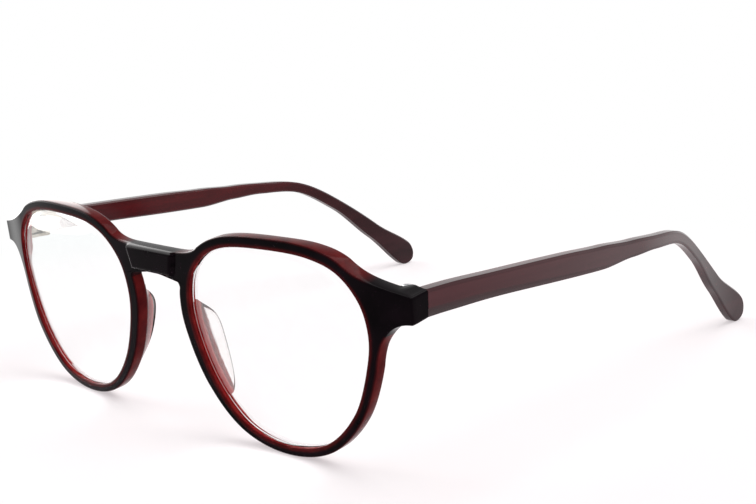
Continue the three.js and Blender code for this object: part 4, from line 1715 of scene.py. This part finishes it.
    def build(self, shop: Workshop, acetate: Material, wire: Material) -> None:
        """Builds and dresses the temple and its wire.

        Args:
            shop: Makes the objects.
            acetate: The temple's acetate.
            wire: The wire's metal.
        """
        side = self.hinge.side
        piece = shop.piece(f"temple_bar_{side.word}", self.mesh(), acetate, side)
        drill_start = -self.hinge.sizes.overrun / self.length
        drill_radius = self.wire_radius + self.wire_clearance
        drill = self.bar(drill_start, self.channel_end, drill_radius, self.channel_facets, self.channel_steps)
        for away in (self.hinge.recesses()[1], drill):
            shop.cut(piece, away, side)
        shop.keep_edges(piece, self.edge_break)
        shop.hand_over(piece, Body.arm(side), "temple_acetate", f"temple_{side.word}")
        wire_start = self.wire_setback / self.length
        core = self.bar(wire_start, self.wire_end, self.wire_radius, self.wire_facets, self.wire_steps)
        rod = shop.piece(f"core_rod_{side.word}", core, wire, side)
        shop.hand_over(rod, Body.arm(side), "wire_metal", f"core_wire_{side.word}")


@dataclass(frozen=True)
class Lamp:
    """A square soft box: where it hangs and looks in metres, its side, its power in watts and its colour."""

    name: str
    place: tuple
    aim: tuple
    size: float
    power: float
    colour: Colour
    mirrored_only: bool = False

    def hang(self) -> None:
        """Hangs the lamp."""
        data = bpy.data.lights.new(self.name, "AREA")
        data.shape = "SQUARE"
        data.size = self.size
        data.energy = self.power
        data.color = self.colour
        made = stand(self.name, data)
        made.location = self.place
        made.rotation_mode = "QUATERNION"
        made.rotation_quaternion = (Vector(self.aim) - Vector(self.place)).to_track_quat("-Z", "Y")
        if self.mirrored_only:
            made.visible_diffuse = False
            made.visible_camera = False


@dataclass
class Studio:
    """The paper, the lamps, the world and the camera."""

    camera_place: tuple = (220.91, -169.05, 99.703)
    yaw: float = -0.73999
    pitch: float = -0.21893
    roll: float = -0.02865
    focal_mm: float = 60.165
    sensor_mm: float = 36
    clip: tuple = (0.01, 20)
    floor_half: float = 6.0
    floor_steps: int = 40
    floor_drop: float = 0.00002
    ambient: float = 0.55
    lamps: tuple = (
        Lamp("top_box", (0.15, 0.35, 1.1), (0, 0, 0), 0.9, 9.0, (1, 0.99, 0.985)),
        Lamp("side_box", (-0.9, -0.35, 0.8), (0, 0, 0.02), 0.6, 3.0, (1, 1, 1)),
        Lamp("gleam_box", (-0.27, -0.09, 0.18), (0, -0.09, 0.18), 0.36, 1.7, (1, 0.99, 0.98), True),
    )

    def floor(self, paper: Material) -> None:
        """Lays the paper on the table.

        Args:
            paper: The paper's finish.
        """
        ticks = np.linspace(-self.floor_half, self.floor_half, self.floor_steps + 1)
        points = [(x, y, -self.floor_drop) for y in ticks for x in ticks]
        row = len(ticks)
        corners = [j * row + i for j in range(self.floor_steps) for i in range(self.floor_steps)]
        mesh = bpy.data.meshes.new("paper_floor")
        mesh.from_pydata(points, [], [(a, a + 1, a + row + 1, a + row) for a in corners])
        mesh.materials.append(paper)
        stand("paper_floor", mesh)

    def light(self) -> None:
        """Hangs the lamps and makes the world: soft light, and a white background where it is seen."""
        for lamp in self.lamps:
            lamp.hang()
        world = bpy.data.worlds.new("studio")
        world.use_nodes = True
        bpy.context.scene.world = world
        graph = Graph(world.node_tree, "ShaderNodeOutputWorld")
        ambient = graph.node("ShaderNodeBackground", {"Color": WHITE, "Strength": self.ambient})
        shown = graph.node("ShaderNodeBackground", {"Color": WHITE, "Strength": 1.0})
        graph.show(graph.layered(graph.seen(), ambient.outputs[0], shown.outputs[0]))

    def camera(self, frame: RowFrame) -> None:
        """Sets the camera where the photograph was taken from.

        Args:
            frame: Places the camera in the row frame.
        """
        level = math.cos(self.pitch)
        ahead = Vector((math.sin(self.yaw) * level, math.cos(self.yaw) * level, math.sin(self.pitch)))
        right = ahead.cross(Vector((0, 0, 1))).normalized()
        up = right.cross(ahead)
        turned = right * math.cos(self.roll) + up * math.sin(self.roll)
        upward = up * math.cos(self.roll) - right * math.sin(self.roll)
        data = bpy.data.cameras.new("studio_camera")
        data.lens = self.focal_mm
        data.sensor_width = self.sensor_mm
        data.clip_start, data.clip_end = self.clip
        made = stand("studio_camera", data)
        made.rotation_mode = "QUATERNION"
        made.rotation_quaternion = Matrix((turned, upward, -ahead)).transposed().to_quaternion()
        made.location = Vector(frame.place(np.array(self.camera_place)))
        bpy.context.scene.camera = made
        bpy.context.scene.view_settings.view_transform = "Standard"


def row_frame(hinge: Hinge) -> RowFrame:
    """Where the maker's frame lies in the row frame, found by the right hinge.

    Args:
        hinge: The right hinge.

    Returns:
        The frame that places meshes.
    """
    low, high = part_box("hinge_screw_right")
    leaf_low, leaf_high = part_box("temple_hinge_right")
    shift_y = (low.y + high.y) / 2 - hinge.pin[1] * MM
    shift_z = (leaf_low.z + leaf_high.z) / 2 - hinge.centre_z * MM
    return RowFrame(Vector((0, shift_y, shift_z)))


def main() -> None:
    """Builds the pair round the frame, dresses it, and sets up the studio."""
    logging.basicConfig(level=logging.INFO, format="%(name)s: %(message)s")
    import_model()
    outline, front, temple = LensOutline(), FrontSizes(), TempleSizes()
    hinges = [Hinge(side, front, temple, HingeSizes()) for side in Side]
    frame = row_frame(hinges[0])
    shop = Workshop(frame)
    Front(front, outline).build(shop, FRONT_ACETATE.build(), hinges)
    Lenses(front, outline).build(shop, CLEAR_LENS.build())
    NosePads(front, outline).build(shop, PAD_ACETATE.build())
    temple_acetate, wire = TEMPLE_ACETATE.build(), DRAWN_WIRE.build()
    nickel, steel = NICKEL_SILVER.build(), TURNED_STEEL.build()
    for hinge in hinges:
        Temple(hinge, temple).build(shop, temple_acetate, wire)
        hinge.build(shop, nickel, steel)
    studio = Studio()
    studio.floor(WHITE_PAPER.build())
    studio.light()
    studio.camera(frame)


if __name__ == "__main__":
    main()
